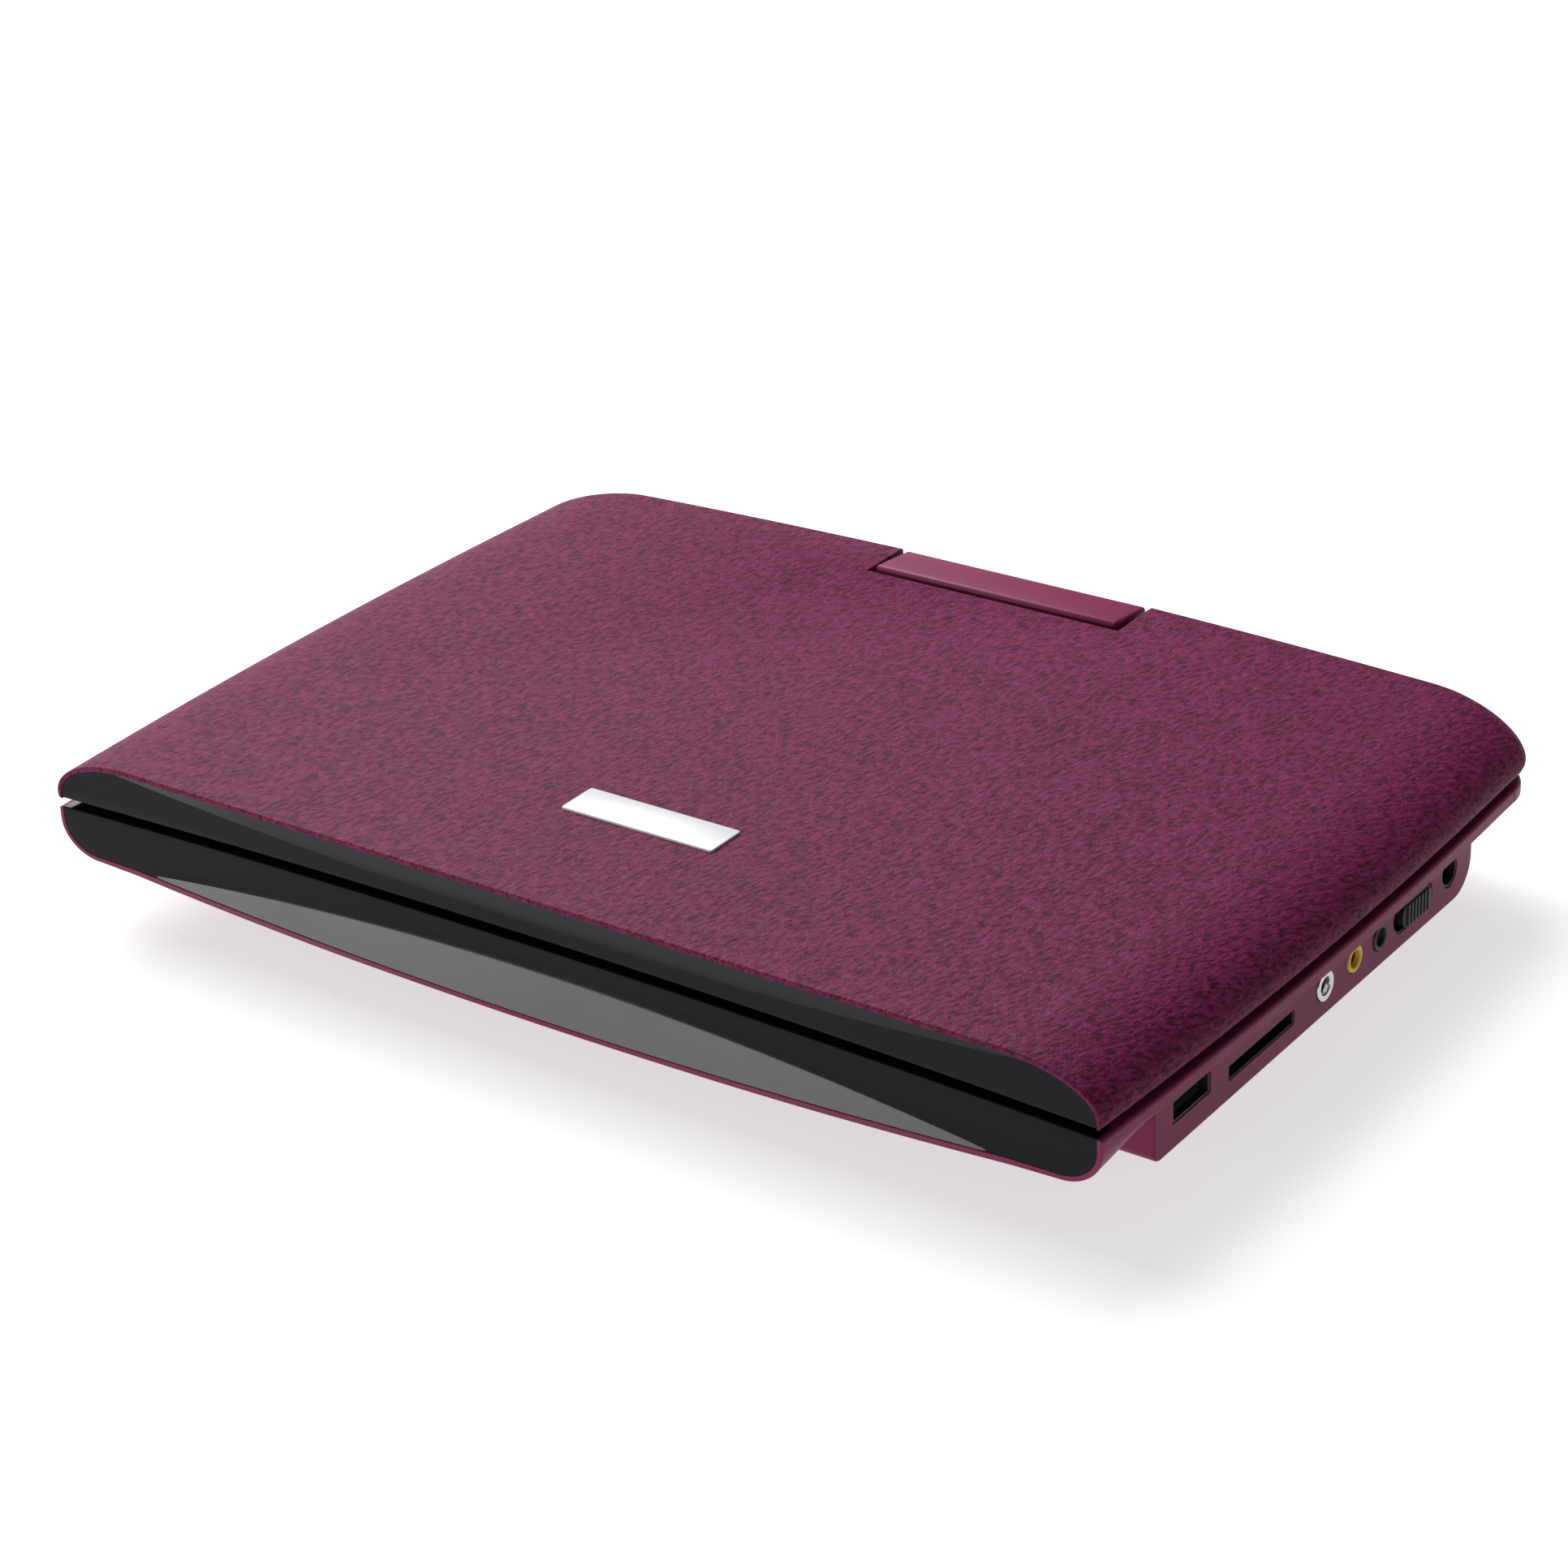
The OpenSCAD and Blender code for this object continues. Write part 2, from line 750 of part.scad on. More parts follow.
module disc_lid() {
  color(plum)
  difference() {
    union() {
      rod_z(22.5, deck_top + 0.2, bay_x, bay_y, bay_r + 3.6);
      box([bay_x - 20, bay_y + 58, 22], [bay_x + 20, disc_hinge_y, deck_top + 0.1]);
      rod_x(bay_x - 20, bay_x + 20, disc_hinge_y, disc_hinge_z, 1.5);
      rod_x(bay_x - 23.4, bay_x + 23.4, disc_hinge_y, disc_hinge_z, 0.8);
      box([bay_x - 6, bay_y - 64.8, 21], [bay_x + 6, bay_y - 63.5, 23]);
    }
    rod_z(22, 23, bay_x, bay_y, 16);
    translate([bay_x, bay_y, deck_top + 0.2])
      rotate_extrude($fn = 96)
        translate([54, -0.4]) square([0.8, 1]);
  }
}

module open_button() {
  color(plum)
  union() {
    box([bay_x - 8, -79.8, 20.4], [bay_x + 8, -75, deck_top + 0.7]);
    box([bay_x - 9.4, -80.9, 20.4], [bay_x + 9.4, -73.9, 21.6]);
  }
}

// ---- Keys ----

key_top = deck_top + 0.6;
key_foot = 20.2;
module plain_key(i) {
  k = small_keys[i];
  color(gloss_black)
  union() {
    key_shape(k[1], k[2], 0, key_foot, key_top);
    key_shape(k[1], k[2], 0.9, key_foot, key_foot + 1.2);
  }
}

module arrow_key(angle) {
  color(gloss_black)
  translate([nav[0], nav[1], 0])
    rotate([0, 0, angle])
      intersection() {
        difference() {
          union() {
            rod_z(key_foot, key_top, 0, 0, nav_r);
            rod_z(key_foot, key_foot + 1.2, 0, 0, nav_r + 1.2);
          }
          rod_z(key_foot - 1, key_top + 1, 0, 0, 5.6);
        }
        translate([0.45, 0, key_foot - 1])
          linear_extrude(10)
            polygon([[0, 0], [20, -20], [20, 20]]);
      }
}

module ok_key() {
  color(gloss_black)
  rod_z(key_foot, key_top + 0.1, nav[0], nav[1], 5.1);
}

module right_key() {
  arrow_key(0);
}

module up_key() {
  arrow_key(90);
}

module left_key() {
  arrow_key(180);
}

module down_key() {
  arrow_key(270);
}

module play_key() {
  plain_key(0);
}

module stop_key() {
  plain_key(1);
}

module previous_key() {
  plain_key(2);
}

module next_key() {
  plain_key(3);
}

module menu_key() {
  plain_key(4);
}

// ---- Hinge ----

knuckle_r = 1.8;
knuckle_in = 26;
knuckle_out = 31;
block_front = 73.9;
block_rear = 87;
block_top = lid_top + 1;
block_fall = 4.8;
swivel_z = 32.2;

module hinge_brackets() {
  color(steel)
  for (s = [-1, 1])
    scale([s, 1, 1])
      difference() {
        union() {
          box([12, 75, 20.4], [knuckle_out, 84.2, 21.9]);
          box([knuckle_in, 84, 20.4], [knuckle_out, tilt_y + 1.2, 21.9]);
          box([knuckle_in, tilt_y - 1.5, 20.4], [knuckle_out, tilt_y + 1.2, tilt_z]);
          rod_x(knuckle_in, knuckle_out, tilt_y, tilt_z, knuckle_r);
        }
        rod_x(knuckle_in - 1, knuckle_out + 1, tilt_y, tilt_z, pin_r + run);
        rod_z(19, 23, 17, 79.5, 1.2);
      }
}

module hinge_block() {
  color(plum)
  difference() {
    union() {
      loft([
        for (l = [[29.2, 0.3], [29.6, 0], [block_top - 0.9, 0], [block_top - 0.3, 0.35],
          [block_top, 1]])
          [l[0], round_rect(
            -block_hw + l[1], block_hw - l[1], block_front + l[1], block_rear - l[1], 0.8
          )]
      ]);
      box([0.4 - knuckle_in, tilt_y - knuckle_r, tilt_z], [knuckle_in - 0.4, block_rear, 29.6]);
      rod_x(0.4 - knuckle_in, knuckle_in - 0.4, tilt_y, tilt_z, knuckle_r);
    }
    for (s = [-1, 1])
      rod_x(s * 21.8 - 4.5, s * 21.8 + 4.5, tilt_y, tilt_z, pin_r);
    translate([-block_hw - 1, block_front, block_top])
      rotate([-block_fall, 0, 0])
        cube([2 * block_hw + 2, 20, 5]);
    rod_y(block_front - 1, 82, 0, swivel_z, 2.23);
  }
}

module hinge_pins() {
  color(steel)
  for (s = [-1, 1])
    rod_x(s * 24.3 - 6.9, s * 24.3 + 6.9, tilt_y, tilt_z, pin_r);
}

module swivel_shaft() {
  color(steel)
  union() {
    rod_y(60.6, 82, 0, swivel_z, 2.2);
    rod_y(60.6, 62, 0, swivel_z, 2.9);
  }
}

notch_hw = 32.4;
notch_front = 72.6;
module swivel_bush() {
  color([0.75, 0.6, 0.3])
  difference() {
    union() {
      rod_y(notch_front - 1.9, notch_front + 0.1, 0, swivel_z, 3.3);
      rod_y(notch_front + 0.02, notch_front + 0.9, 0, swivel_z, 4.2);
    }
    rod_y(60, 80, 0, swivel_z, 2.2 + run);
  }
}

module swivel_plate() {
  color(steel)
  difference() {
    union() {
      box([-26, 63, 29], [26, 70.5, 30.1]);
      box([-10, 68.9, 29], [10, 70.5, 35.1]);
    }
    rod_y(60, 80, 0, swivel_z, 2.5);
    for (x = [-20, 20]) rod_z(20, 40, x, 66.5, 1.3);
  }
}

// ---- Screen lid ----

roll_start = 27.4;
lid_roll_a = 21;
function lid_side(z) =
  z < roll_start
    ? 0.8 * (roll_start - z) / 0.6
    : lid_roll_a * (1 - sqrt(max(0, 1 - pow((z - roll_start) / (lid_top - roll_start), 2))));
function lid_rear(z) =
  z < 29
    ? 2 * (1 - sqrt(max(0, 1 - pow((29 - z) / 2.3, 2))))
    : z > 36.2 ? 0.8 * (1 - sqrt(max(0, 1 - pow((z - 36.2) / 0.8, 2)))) : 0;
lid_levels = [26.8, 27.4, 28.2, 29, 31, 33, 34.6, 35.8, 36.6, 36.9, 37];

module lid_solid(inset) {
  lift = lid_top / 37;
  loft([
    for (z = lid_levels)
      [
        z == 26.8 ? lid_bottom - (inset > 0 ? 1 : 0) : z * lift - (z > 29 ? inset * 0.9 : 0),
        outline(
          hw - lid_side(z) - inset,
          front_y + (inset > 0 ? scoop + trim_t + 1.5 : 0),
          rear_y0 - lid_rear(z) - inset,
          rear_corner
        )
      ]
  ]);
}

module lid_front_2d(inset) {
  n = 10;
  b = lid_top - roll_start - inset;
  half = [for (i = [0:n])
    let (a = 90 * i / n)
    [
      front_hw - lid_roll_a + (lid_roll_a - inset) * cos(a),
      roll_start + b * sin(a)
    ]];
  polygon(concat(
    [[inset - front_hw, lid_bottom - 1], [front_hw - inset, lid_bottom - 1]],
    half,
    [for (i = [n:-1:0]) [-half[i][0], half[i][1]]]
  ));
}

module notch_cut(grow) {
  box([-notch_hw - grow, notch_front - grow, 20], [notch_hw + grow, 100, 50]);
}

module lid_shell() {
  color(leather)
  difference() {
    lid_solid(0);
    difference() {
      lid_solid(1.8);
      notch_cut(1.8);
    }
    notch_cut(0);
    rod_y(60, 80, 0, swivel_z, 3.35);
    intersection() {
      scoop_region(lid_bottom - 2, lid_top, 0.2 + trim_t);
      front_prism(front_y - 8, front_y + 12) lid_front_2d(lip);
    }
  }
}

// Space below the sloped upper half of the lid's front face.
lid_set = 1.3;
lid_slope = 0.6;
module lid_scoop(back) {
  top = lid_top - lip;
  intersection() {
    scoop_region(lid_bottom - 1, lid_top + 1, back);
    translate([-hw - 5, 0, 0])
      rotate([90, 0, 90])
        linear_extrude(body_w + 10)
          polygon([
            [front_y - 8, lid_bottom - 2],
            [front_y + lid_set + lid_slope * (top + 2 - lid_bottom), lid_bottom - 2],
            [front_y + lid_set - lid_slope * 2, top + 2],
            [front_y - 8, top + 2]
          ]);
  }
}

module lid_front_trim() {
  color(gloss_black)
  intersection() {
    difference() {
      scoop_region(lid_bottom + 0.1, lid_top, 0.2 + trim_t - 0.05);
      lid_scoop(0.15);
    }
    front_prism(front_y - 8, front_y + 12) lid_front_2d(lip + 0.1);
  }
}

module badge() {
  color([0.93, 0.93, 0.93])
  translate([0, 0, lid_top + eps])
    linear_extrude(0.5)
      polygon(round_rect(-18.4, 18.4, -55, -45.2, 0.6));
}

lcd_y0 = -79;
lcd_y1 = 59;
view_hw = 111;
view_y0 = -72.5;
view_y1 = 52.5;
bezel_screws = [[-117, -76], [117, -76], [-117, 66], [117, 66], [-60, 64], [60, 64]];

module screen_bezel() {
  color(gloss_black)
  difference() {
    translate([0, 0, lid_bottom + 0.1])
      linear_extrude(1.8)
        polygon(outline(
          hw - 2.7, front_y + scoop + trim_t + 1.7, rear_y0 - 4.1, rear_corner - 2
        ));
    notch_cut(2);
    box([-view_hw, view_y0, 20], [view_hw, view_y1, 40]);
    for (b = bezel_screws) rod_z(20, 40, b[0], b[1], 2.3);
  }
}

module lcd_panel() {
  color(steel)
  box([-116, lcd_y0, 28.8], [116, lcd_y1, 33]);
}

module screen_glass() {
  color(gloss_black)
  box([0.2 - view_hw, view_y0 + 0.2, lid_bottom + 0.5], [view_hw - 0.2, view_y1 - 0.2, 28.7]);
}

module screen_board() {
  color(board_green)
  union() {
    box([-60, 10, 33.3], [60, 56, 34.2]);
    box([-40, 24, 34.1], [-28, 36, 34.9]);
  }
}

module screen_bumpers() {
  color(dark)
  for (x = [-116, 116], y = [-66, 56])
    rod_z(deck_top + 0.35, lid_bottom + 0.1, x, y, 2.4);
}

module screen_screws() {
  color(dark)
  for (b = bezel_screws)
    rod_z(lid_bottom + 0.4, lid_bottom + 1.8, b[0], b[1], 2.1);
}

base_shell();
port_panel();
base_front_trim();
rear_cover();
battery_cover();
rubber_feet();
case_screws();
deck_cover();
speaker_grilles();
speakers();
indicator_window();
main_board();
battery_pack();
usb_socket();
card_socket();
headphone_jack();
av_out_jack();
av_in_jack();
dc_jack();
power_switch();
power_knob();
key_board();
key_membrane();
drive_chassis();
drive_dampers();
spindle_motor();
turntable();
guide_rods();
optical_pickup();
pickup_lens();
lead_screw();
sled_motor();
disc_lid();
open_button();
ok_key();
up_key();
down_key();
left_key();
right_key();
play_key();
stop_key();
previous_key();
next_key();
menu_key();
hinge_brackets();
hinge_block();
hinge_pins();
swivel_shaft();
swivel_bush();
swivel_plate();
lid_shell();
lid_front_trim();
badge();
screen_bezel();
lcd_panel();
screen_glass();
screen_board();
screen_bumpers();
screen_screws();
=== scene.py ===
"""Portable DVD player with a leather-covered screen lid: the looks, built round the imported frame.

Shapes are worked out in millimetres in the part's own frame and scaled to metres when a mesh is made.
"""

import json
import math

import bmesh
import bpy
from mathutils import Matrix, Vector

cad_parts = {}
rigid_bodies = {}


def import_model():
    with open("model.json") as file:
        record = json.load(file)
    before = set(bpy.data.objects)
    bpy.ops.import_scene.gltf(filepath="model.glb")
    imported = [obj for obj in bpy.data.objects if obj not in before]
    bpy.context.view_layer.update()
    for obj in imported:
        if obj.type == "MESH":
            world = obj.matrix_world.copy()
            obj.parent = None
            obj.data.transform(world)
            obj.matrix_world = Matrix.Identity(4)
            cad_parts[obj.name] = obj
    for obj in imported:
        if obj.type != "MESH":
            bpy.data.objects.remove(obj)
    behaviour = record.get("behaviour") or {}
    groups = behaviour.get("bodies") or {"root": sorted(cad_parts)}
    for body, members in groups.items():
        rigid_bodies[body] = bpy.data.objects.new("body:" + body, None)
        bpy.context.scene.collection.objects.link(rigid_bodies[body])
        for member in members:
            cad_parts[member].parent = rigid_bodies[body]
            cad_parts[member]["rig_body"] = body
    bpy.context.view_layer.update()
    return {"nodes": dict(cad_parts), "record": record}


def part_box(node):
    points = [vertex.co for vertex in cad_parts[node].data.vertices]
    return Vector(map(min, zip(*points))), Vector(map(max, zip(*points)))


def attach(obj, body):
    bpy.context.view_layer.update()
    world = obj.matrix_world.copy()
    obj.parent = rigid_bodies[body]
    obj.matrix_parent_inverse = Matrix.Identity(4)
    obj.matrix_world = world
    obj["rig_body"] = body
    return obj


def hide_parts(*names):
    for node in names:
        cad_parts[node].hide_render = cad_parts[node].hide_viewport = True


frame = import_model()
nodes = frame["nodes"]
MM = 0.001


def box_mm(node):
    """The lowest and highest corners of a CAD node, in millimetres."""
    low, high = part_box(node)
    return low / MM, high / MM


# ---- Sizes ----

lid_low, lid_high = box_mm("lid_shell")
HALF_WIDTH = lid_high.x
FRONT_Y, REAR_Y = lid_low.y, lid_high.y
LID_TOP = lid_high.z
DECK_TOP = box_mm("deck_cover")[1].z

SIDE_BULGE = 2.7  # how far the sides bulge between their ends
REAR_RADIUS = 1250  # arc of the rear edge
REAR_CORNER = 8  # round of the rear corners
FRONT_HALF = HALF_WIDTH - SIDE_BULGE
SCOOP = 3.5  # depth of the finger scoop in the seam
SLOPE = 0.35  # how far the scoop's lips lean for each millimetre of height
LIP = 1.1  # plum lip round the black trims
LIP_ROUND = 0.35
TRIM_GAP = 0.1
POCKET = 5.2  # depth of the pockets that hold the trims

KEEL_Z, KEEL_RISE, KEEL_HALF = 9.6, 3.6, 116.0
ROLL_X, ROLL_Z, ROLL_TOP = 9.8, 8.3, 21.5
RIM_DROP, RIM_SIDE, RIM_REAR = 0.9, 0.8, 1.5
REAR_ROLL_START, REAR_ROLL, REAR_ROLL_Z = 22.3, 14.2, 9.1
SLOPE_START = KEEL_Z + 0.8

LID_ROLL_START, LID_ROLL_X = 27.4, 21.0
LID_ROLL_Z = LID_TOP - LID_ROLL_START
LID_TUCK = 1.2  # how far the lid's skirt curls under below its roll
LID_LOW = LID_ROLL_START - LID_TUCK  # lower edge of the lid's skirt
RIM_TOP = DECK_TOP + 0.3  # the rim stands proud of the deck
SIDE_FLATNESS, SIDE_BLEND = 0.85, 20.0  # behind the round front corners the rim's underside flattens
BASE_CORNER = 11.5  # round of the base's rear corners
LID_SET = 0.5  # how far the lid's trim starts behind its lip
LID_SLOPE = 0.42  # how far it leans back for each millimetre down
LID_WALL = 1.8
LID_EDGE = 0.8  # round of the upper rear edge


# ---- Mesh making ----


class Shape:
    """Points in millimetres and faces, gathered row by row."""

    def __init__(self):
        self.points = []
        self.faces = []

    def row(self, points):
        start = len(self.points)
        self.points += [tuple(p) for p in points]
        return list(range(start, len(self.points)))

    def bridge(self, a, b, close=False):
        last = len(a) if close else len(a) - 1
        for i in range(last):
            j = (i + 1) % len(a)
            self.faces.append((a[i], a[j], b[j], b[i]))

    def fill(self, loop):
        self.faces.append(tuple(loop))


def make(name, shape, sharp=38):
    """A mesh object from a shape, its faces turned outward and shaded smooth up to an angle."""
    mesh = bpy.data.meshes.new(name)
    mesh.from_pydata([Vector(p) * MM for p in shape.points], [], shape.faces)
    obj = bpy.data.objects.new(name, mesh)
    bpy.context.scene.collection.objects.link(obj)
    return tidy(obj, sharp)


def tidy(obj, sharp=38):
    bm = bmesh.new()
    bm.from_mesh(obj.data)
    bmesh.ops.remove_doubles(bm, verts=bm.verts, dist=0.002 * MM)
    bmesh.ops.dissolve_degenerate(bm, edges=bm.edges, dist=0.001 * MM)
    bmesh.ops.recalc_face_normals(bm, faces=bm.faces)
    bm.to_mesh(obj.data)
    bm.free()
    obj.data.shade_smooth()
    obj.data.set_sharp_from_angle(angle=math.radians(sharp))
    return obj


def finish_piece(obj, body, slot, material, *stands_for):
    obj.data.materials.clear()
    obj.data.materials.append(material)
    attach(obj, body)
    if stands_for:
        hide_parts(*stands_for)
    return obj


def cut(obj, cutter, operation="DIFFERENCE", sharp=38):
    """Applies a boolean and removes the cutter."""
    modifier = obj.modifiers.new("cut", "BOOLEAN")
    modifier.operation = operation
    modifier.solver = "EXACT"
    modifier.object = cutter
    apply_modifiers(obj)
    bpy.data.objects.remove(cutter)
    return tidy(obj, sharp)


def apply_modifiers(obj):
    bpy.context.view_layer.update()
    graph = bpy.context.evaluated_depsgraph_get()
    mesh = bpy.data.meshes.new_from_object(obj.evaluated_get(graph))
    obj.modifiers.clear()
    obj.data = mesh


def soften(obj, pick, width, segments=2, sharp=38):
    """Rounds the edges that pick(a, b, angle) accepts; a and b are the ends in millimetres."""
    bm = bmesh.new()
    bm.from_mesh(obj.data)
    edges = []
    for e in bm.edges:
        if len(e.link_faces) != 2:
            continue
        angle = math.degrees(e.calc_face_angle(0))
        if angle > sharp and pick(e.verts[0].co / MM, e.verts[1].co / MM, angle):
            edges.append(e)
    bmesh.ops.bevel(
        bm,
        geom=edges,
        offset=width * MM,
        segments=segments,
        profile=0.5,
        affect="EDGES",
        clamp_overlap=True,
    )
    bm.to_mesh(obj.data)
    bm.free()
    return tidy(obj, sharp)


def even_shading(obj):
    """Keeps large flat faces flat next to small round edges."""
    modifier = obj.modifiers.new("normals", "WEIGHTED_NORMAL")
    modifier.keep_sharp = True
    modifier.weight = 100
    apply_modifiers(obj)
    return obj


def join(name, objs):
    """One mesh object from several."""
    bm = bmesh.new()
    for o in objs:
        bm.from_mesh(o.data)
    mesh = bpy.data.meshes.new(name)
    bm.to_mesh(mesh)
    bm.free()
    for o in objs:
        bpy.data.objects.remove(o)
    obj = bpy.data.objects.new(name, mesh)
    bpy.context.scene.collection.objects.link(obj)
    return tidy(obj)


def rounded_box(name, low, high, radius, segments=3):
    """A box with round edges."""
    low, high = Vector(low), Vector(high)
    bm = bmesh.new()
    bmesh.ops.create_cube(bm, size=1)
    for v in bm.verts:
        v.co = Vector([(low[i] + high[i]) / 2 + v.co[i] * (high[i] - low[i]) for i in range(3)])
        v.co *= MM
    if radius:
        bmesh.ops.bevel(
            bm,
            geom=list(bm.edges),
            offset=radius * MM,
            segments=segments,
            profile=0.5,
            affect="EDGES",
        )
    mesh = bpy.data.meshes.new(name)
    bm.to_mesh(mesh)
    bm.free()
    obj = bpy.data.objects.new(name, mesh)
    bpy.context.scene.collection.objects.link(obj)
    return tidy(obj)


def arc(cx, cy, r, a0, a1, n):
    """Points on an arc, angles in degrees."""
    return [
        (
            cx + r * math.cos(math.radians(a0 + (a1 - a0) * i / n)),
            cy + r * math.sin(math.radians(a0 + (a1 - a0) * i / n)),
        )
        for i in range(n + 1)
    ]


def round_rect(x0, x1, y0, y1, r, n=6):
    """Outline of a rectangle with round corners, anticlockwise."""
    return (
        arc(x1 - r, y0 + r, r, -90, 0, n)
        + arc(x1 - r, y1 - r, r, 0, 90, n)
        + arc(x0 + r, y1 - r, r, 90, 180, n)
        + arc(x0 + r, y0 + r, r, 180, 270, n)
    )


AXES = {
    "x": lambda p, q, h: (h, p, q),
    "y": lambda p, q, h: (q, h, p),
    "z": lambda p, q, h: (p, q, h),
}


def prism(name, axis, levels, sharp=38):
    """A solid through outlines of equal length, stacked along an axis: levels = [(height, outline), ...]."""
    s = Shape()
    rows = [s.row([AXES[axis](p, q, h) for p, q in outline]) for h, outline in levels]
    for a, b in zip(rows, rows[1:]):
        s.bridge(a, b, close=True)
    s.fill(reversed(rows[0]))
    s.fill(rows[-1])
    return make(name, s, sharp)


def lathe(name, axis, centre, profile, n=64, sharp=38):
    """A solid of revolution: profile = [(radius, height), ...], closed on the axis where the radius is 0."""
    s = Shape()
    rows = []
    for r, h in profile:
        if r == 0:
            rows.append(s.row([AXES[axis](centre[0], centre[1], h)]) * n)
        else:
            rows.append(
                s.row([AXES[axis](p, q, h) for p, q in arc(centre[0], centre[1], r, 0, 360 - 360 / n, n - 1)])
            )
    closed = profile[0][0] > 0 and profile[-1][0] > 0
    for a, b in zip(rows, rows[1:] + (rows[:1] if closed else [])):
        s.bridge(a, b, close=True)
    s.faces = [tuple(dict.fromkeys(f)) for f in s.faces]
    s.faces = [f for f in s.faces if len(f) > 2]
    return make(name, s, sharp)


# ---- Case outlines ----


def side_x(y, w):
    return w - SIDE_BULGE * (y / REAR_Y) ** 2


def rear_edge(x, r):
    return r - x * x / (2 * REAR_RADIUS)


def case_outline(w, f, r, rc, sides=22, corners=14, rears=18):
    """The case seen from above, open at the front: right side, rear edge, left side."""
    cx = side_x(r - 7 - rc, w) - rc * math.cos(math.radians(3))
    rear_x = cx + rc * math.cos(math.radians(83.5))
    cy = rear_edge(rear_x, r) - rc * math.sin(math.radians(83.5))
    end = cy + rc * math.sin(math.radians(3))
    half = [(side_x(f + (end - f) * i / sides, w), f + (end - f) * i / sides) for i in range(sides)]
    half += arc(cx, cy, rc, 3, 83.5, corners)
    half += [(rear_x * (1 - i / rears), rear_edge(rear_x * (1 - i / rears), r)) for i in range(1, rears)]
    return half + [(0, rear_edge(0, r))] + [(-x, y) for x, y in reversed(half)]


def scoop_depth(x):
    return SCOOP * max(0.0, 1 - (x / FRONT_HALF) ** 2)


def base_front(x, z):
    """How far the base's front face lies behind the front plane."""
    return min(scoop_depth(x), max(0.0, SLOPE * (z - SLOPE_START)))


def lid_front(x, z):
    """How far the lid's black trim lies behind the front plane."""
    return min(scoop_depth(x), LID_SET + LID_SLOPE * (LID_TOP - LIP - z))


# ---- Base ----


def base_profile(d):
    """Right half of the base's front outline, inset by d, from the deck down to the keel."""
    points = []
    for i in range(5):
        a = math.radians(90 - 22.5 * i)
        inset = max(d, RIM_SIDE * (1 - math.cos(a)))
        points.append((FRONT_HALF - inset, RIM_TOP - RIM_DROP * (1 - math.sin(a))))
    points.append((FRONT_HALF - d, REAR_ROLL_START))
    for i in range(0, 17):
        a = math.radians(90 * i / 16)
        points.append(
            (
                FRONT_HALF - ROLL_X + (ROLL_X - d) * math.cos(a),
                ROLL_TOP - (ROLL_Z - d) * math.sin(a),
            )
        )
    return points


KEEL_STEPS = 24


def keel_line(d):
    """The keel's front outline between the two rolls, right to left."""
    return [
        ((KEEL_HALF - d) * t, KEEL_Z + d + KEEL_RISE * t * t)
        for t in (1 - 2 * i / KEEL_STEPS for i in range(1, KEEL_STEPS))
    ]


def dish_rear(z):
    drop = max(0.0, REAR_ROLL_START - z) / REAR_ROLL_Z
    return REAR_Y - REAR_ROLL + REAR_ROLL * math.sqrt(max(0.0, 1 - drop * drop))


def flattening(x, z, y):
    """Factor that turns the rolled underside at a height into a sloping one behind the front corners."""
    blend = min(1.0, max(0.0, (y - FRONT_Y) / SIDE_BLEND))
    blend *= blend * (3 - 2 * blend)
    straight = FRONT_HALF - ROLL_X * max(0.0, ROLL_TOP - z) / ROLL_Z
    return 1 - SIDE_FLATNESS * blend * max(0.0, x - straight) / x


def base_dish():
    """The base's dish with its front lip and the pocket behind it, solid."""
    s = Shape()
    rows = []
    front = FRONT_Y + LIP_ROUND
    profile = base_profile(0)
    for i, (x, z) in enumerate(profile):
        rear = dish_rear(z) - (RIM_REAR * (1 - math.cos(math.radians(90 - 22.5 * i))) if i < 5 else 0)
        outline = case_outline(x + SIDE_BULGE, front, rear, BASE_CORNER)
        row = []
        for k, (px, py) in enumerate(outline):
            set_back = base_front(px, z) if k in (0, len(outline) - 1) else 0
            row.append((px * flattening(x, z, py), py + set_back, z))
        rows.append(s.row(row))
    for a, b in zip(rows, rows[1:]):
        s.bridge(a, b)
    ring = rows[-1]
    middle = len(ring) // 2
    lines = []
    for m in range(middle):
        xr, y, _ = s.points[ring[m]]
        inner = []
        for i in range(1, KEEL_STEPS):
            t = 1 - 2 * i / KEEL_STEPS
            x = xr * t
            z = KEEL_Z + KEEL_RISE * t * t
            slope_z = KEEL_Z + KEEL_RISE * (y + x * x / (2 * REAR_RADIUS) - 60) / 13
            z = min(KEEL_Z + KEEL_RISE, max(z, slope_z))
            yy = y if m else FRONT_Y + LIP_ROUND + base_front(x, z)
            inner.append((x, yy, z))
        lines.append([ring[m]] + s.row(inner) + [ring[-1 - m]])
    for a, b in zip(lines, lines[1:]):
        s.bridge(a, b)
    s.fill(lines[-1] + [ring[middle]])
    loop = [r[0] for r in rows] + lines[0][1:-1] + [r[-1] for r in reversed(rows)]
    loops = [loop]
    steps = [(LIP_ROUND * (1 - math.cos(a)), LIP_ROUND * (1 - math.sin(a)))
             for a in (math.radians(30), math.radians(60), math.radians(90))]
    steps += [(LIP - 0.15, 0), (LIP - 0.04, 0.04), (LIP, 0.15), (LIP, None)]
    for d, y in steps:
        right = base_profile(d)
        outline = right + keel_line(d) + [(-x, z) for x, z in reversed(right)]
        loops.append(
            s.row(
                [(x, FRONT_Y + (POCKET if y is None else y + base_front(x, z)), z) for x, z in outline]
            )
        )
    for a, b in zip(loops, loops[1:]):
        s.bridge(a, b)
    s.fill(loops[-1])
    s.fill(rows[0] + [l[-1] for l in loops[1:]] + [l[0] for l in reversed(loops[1:])])
    return make("base_case", s)


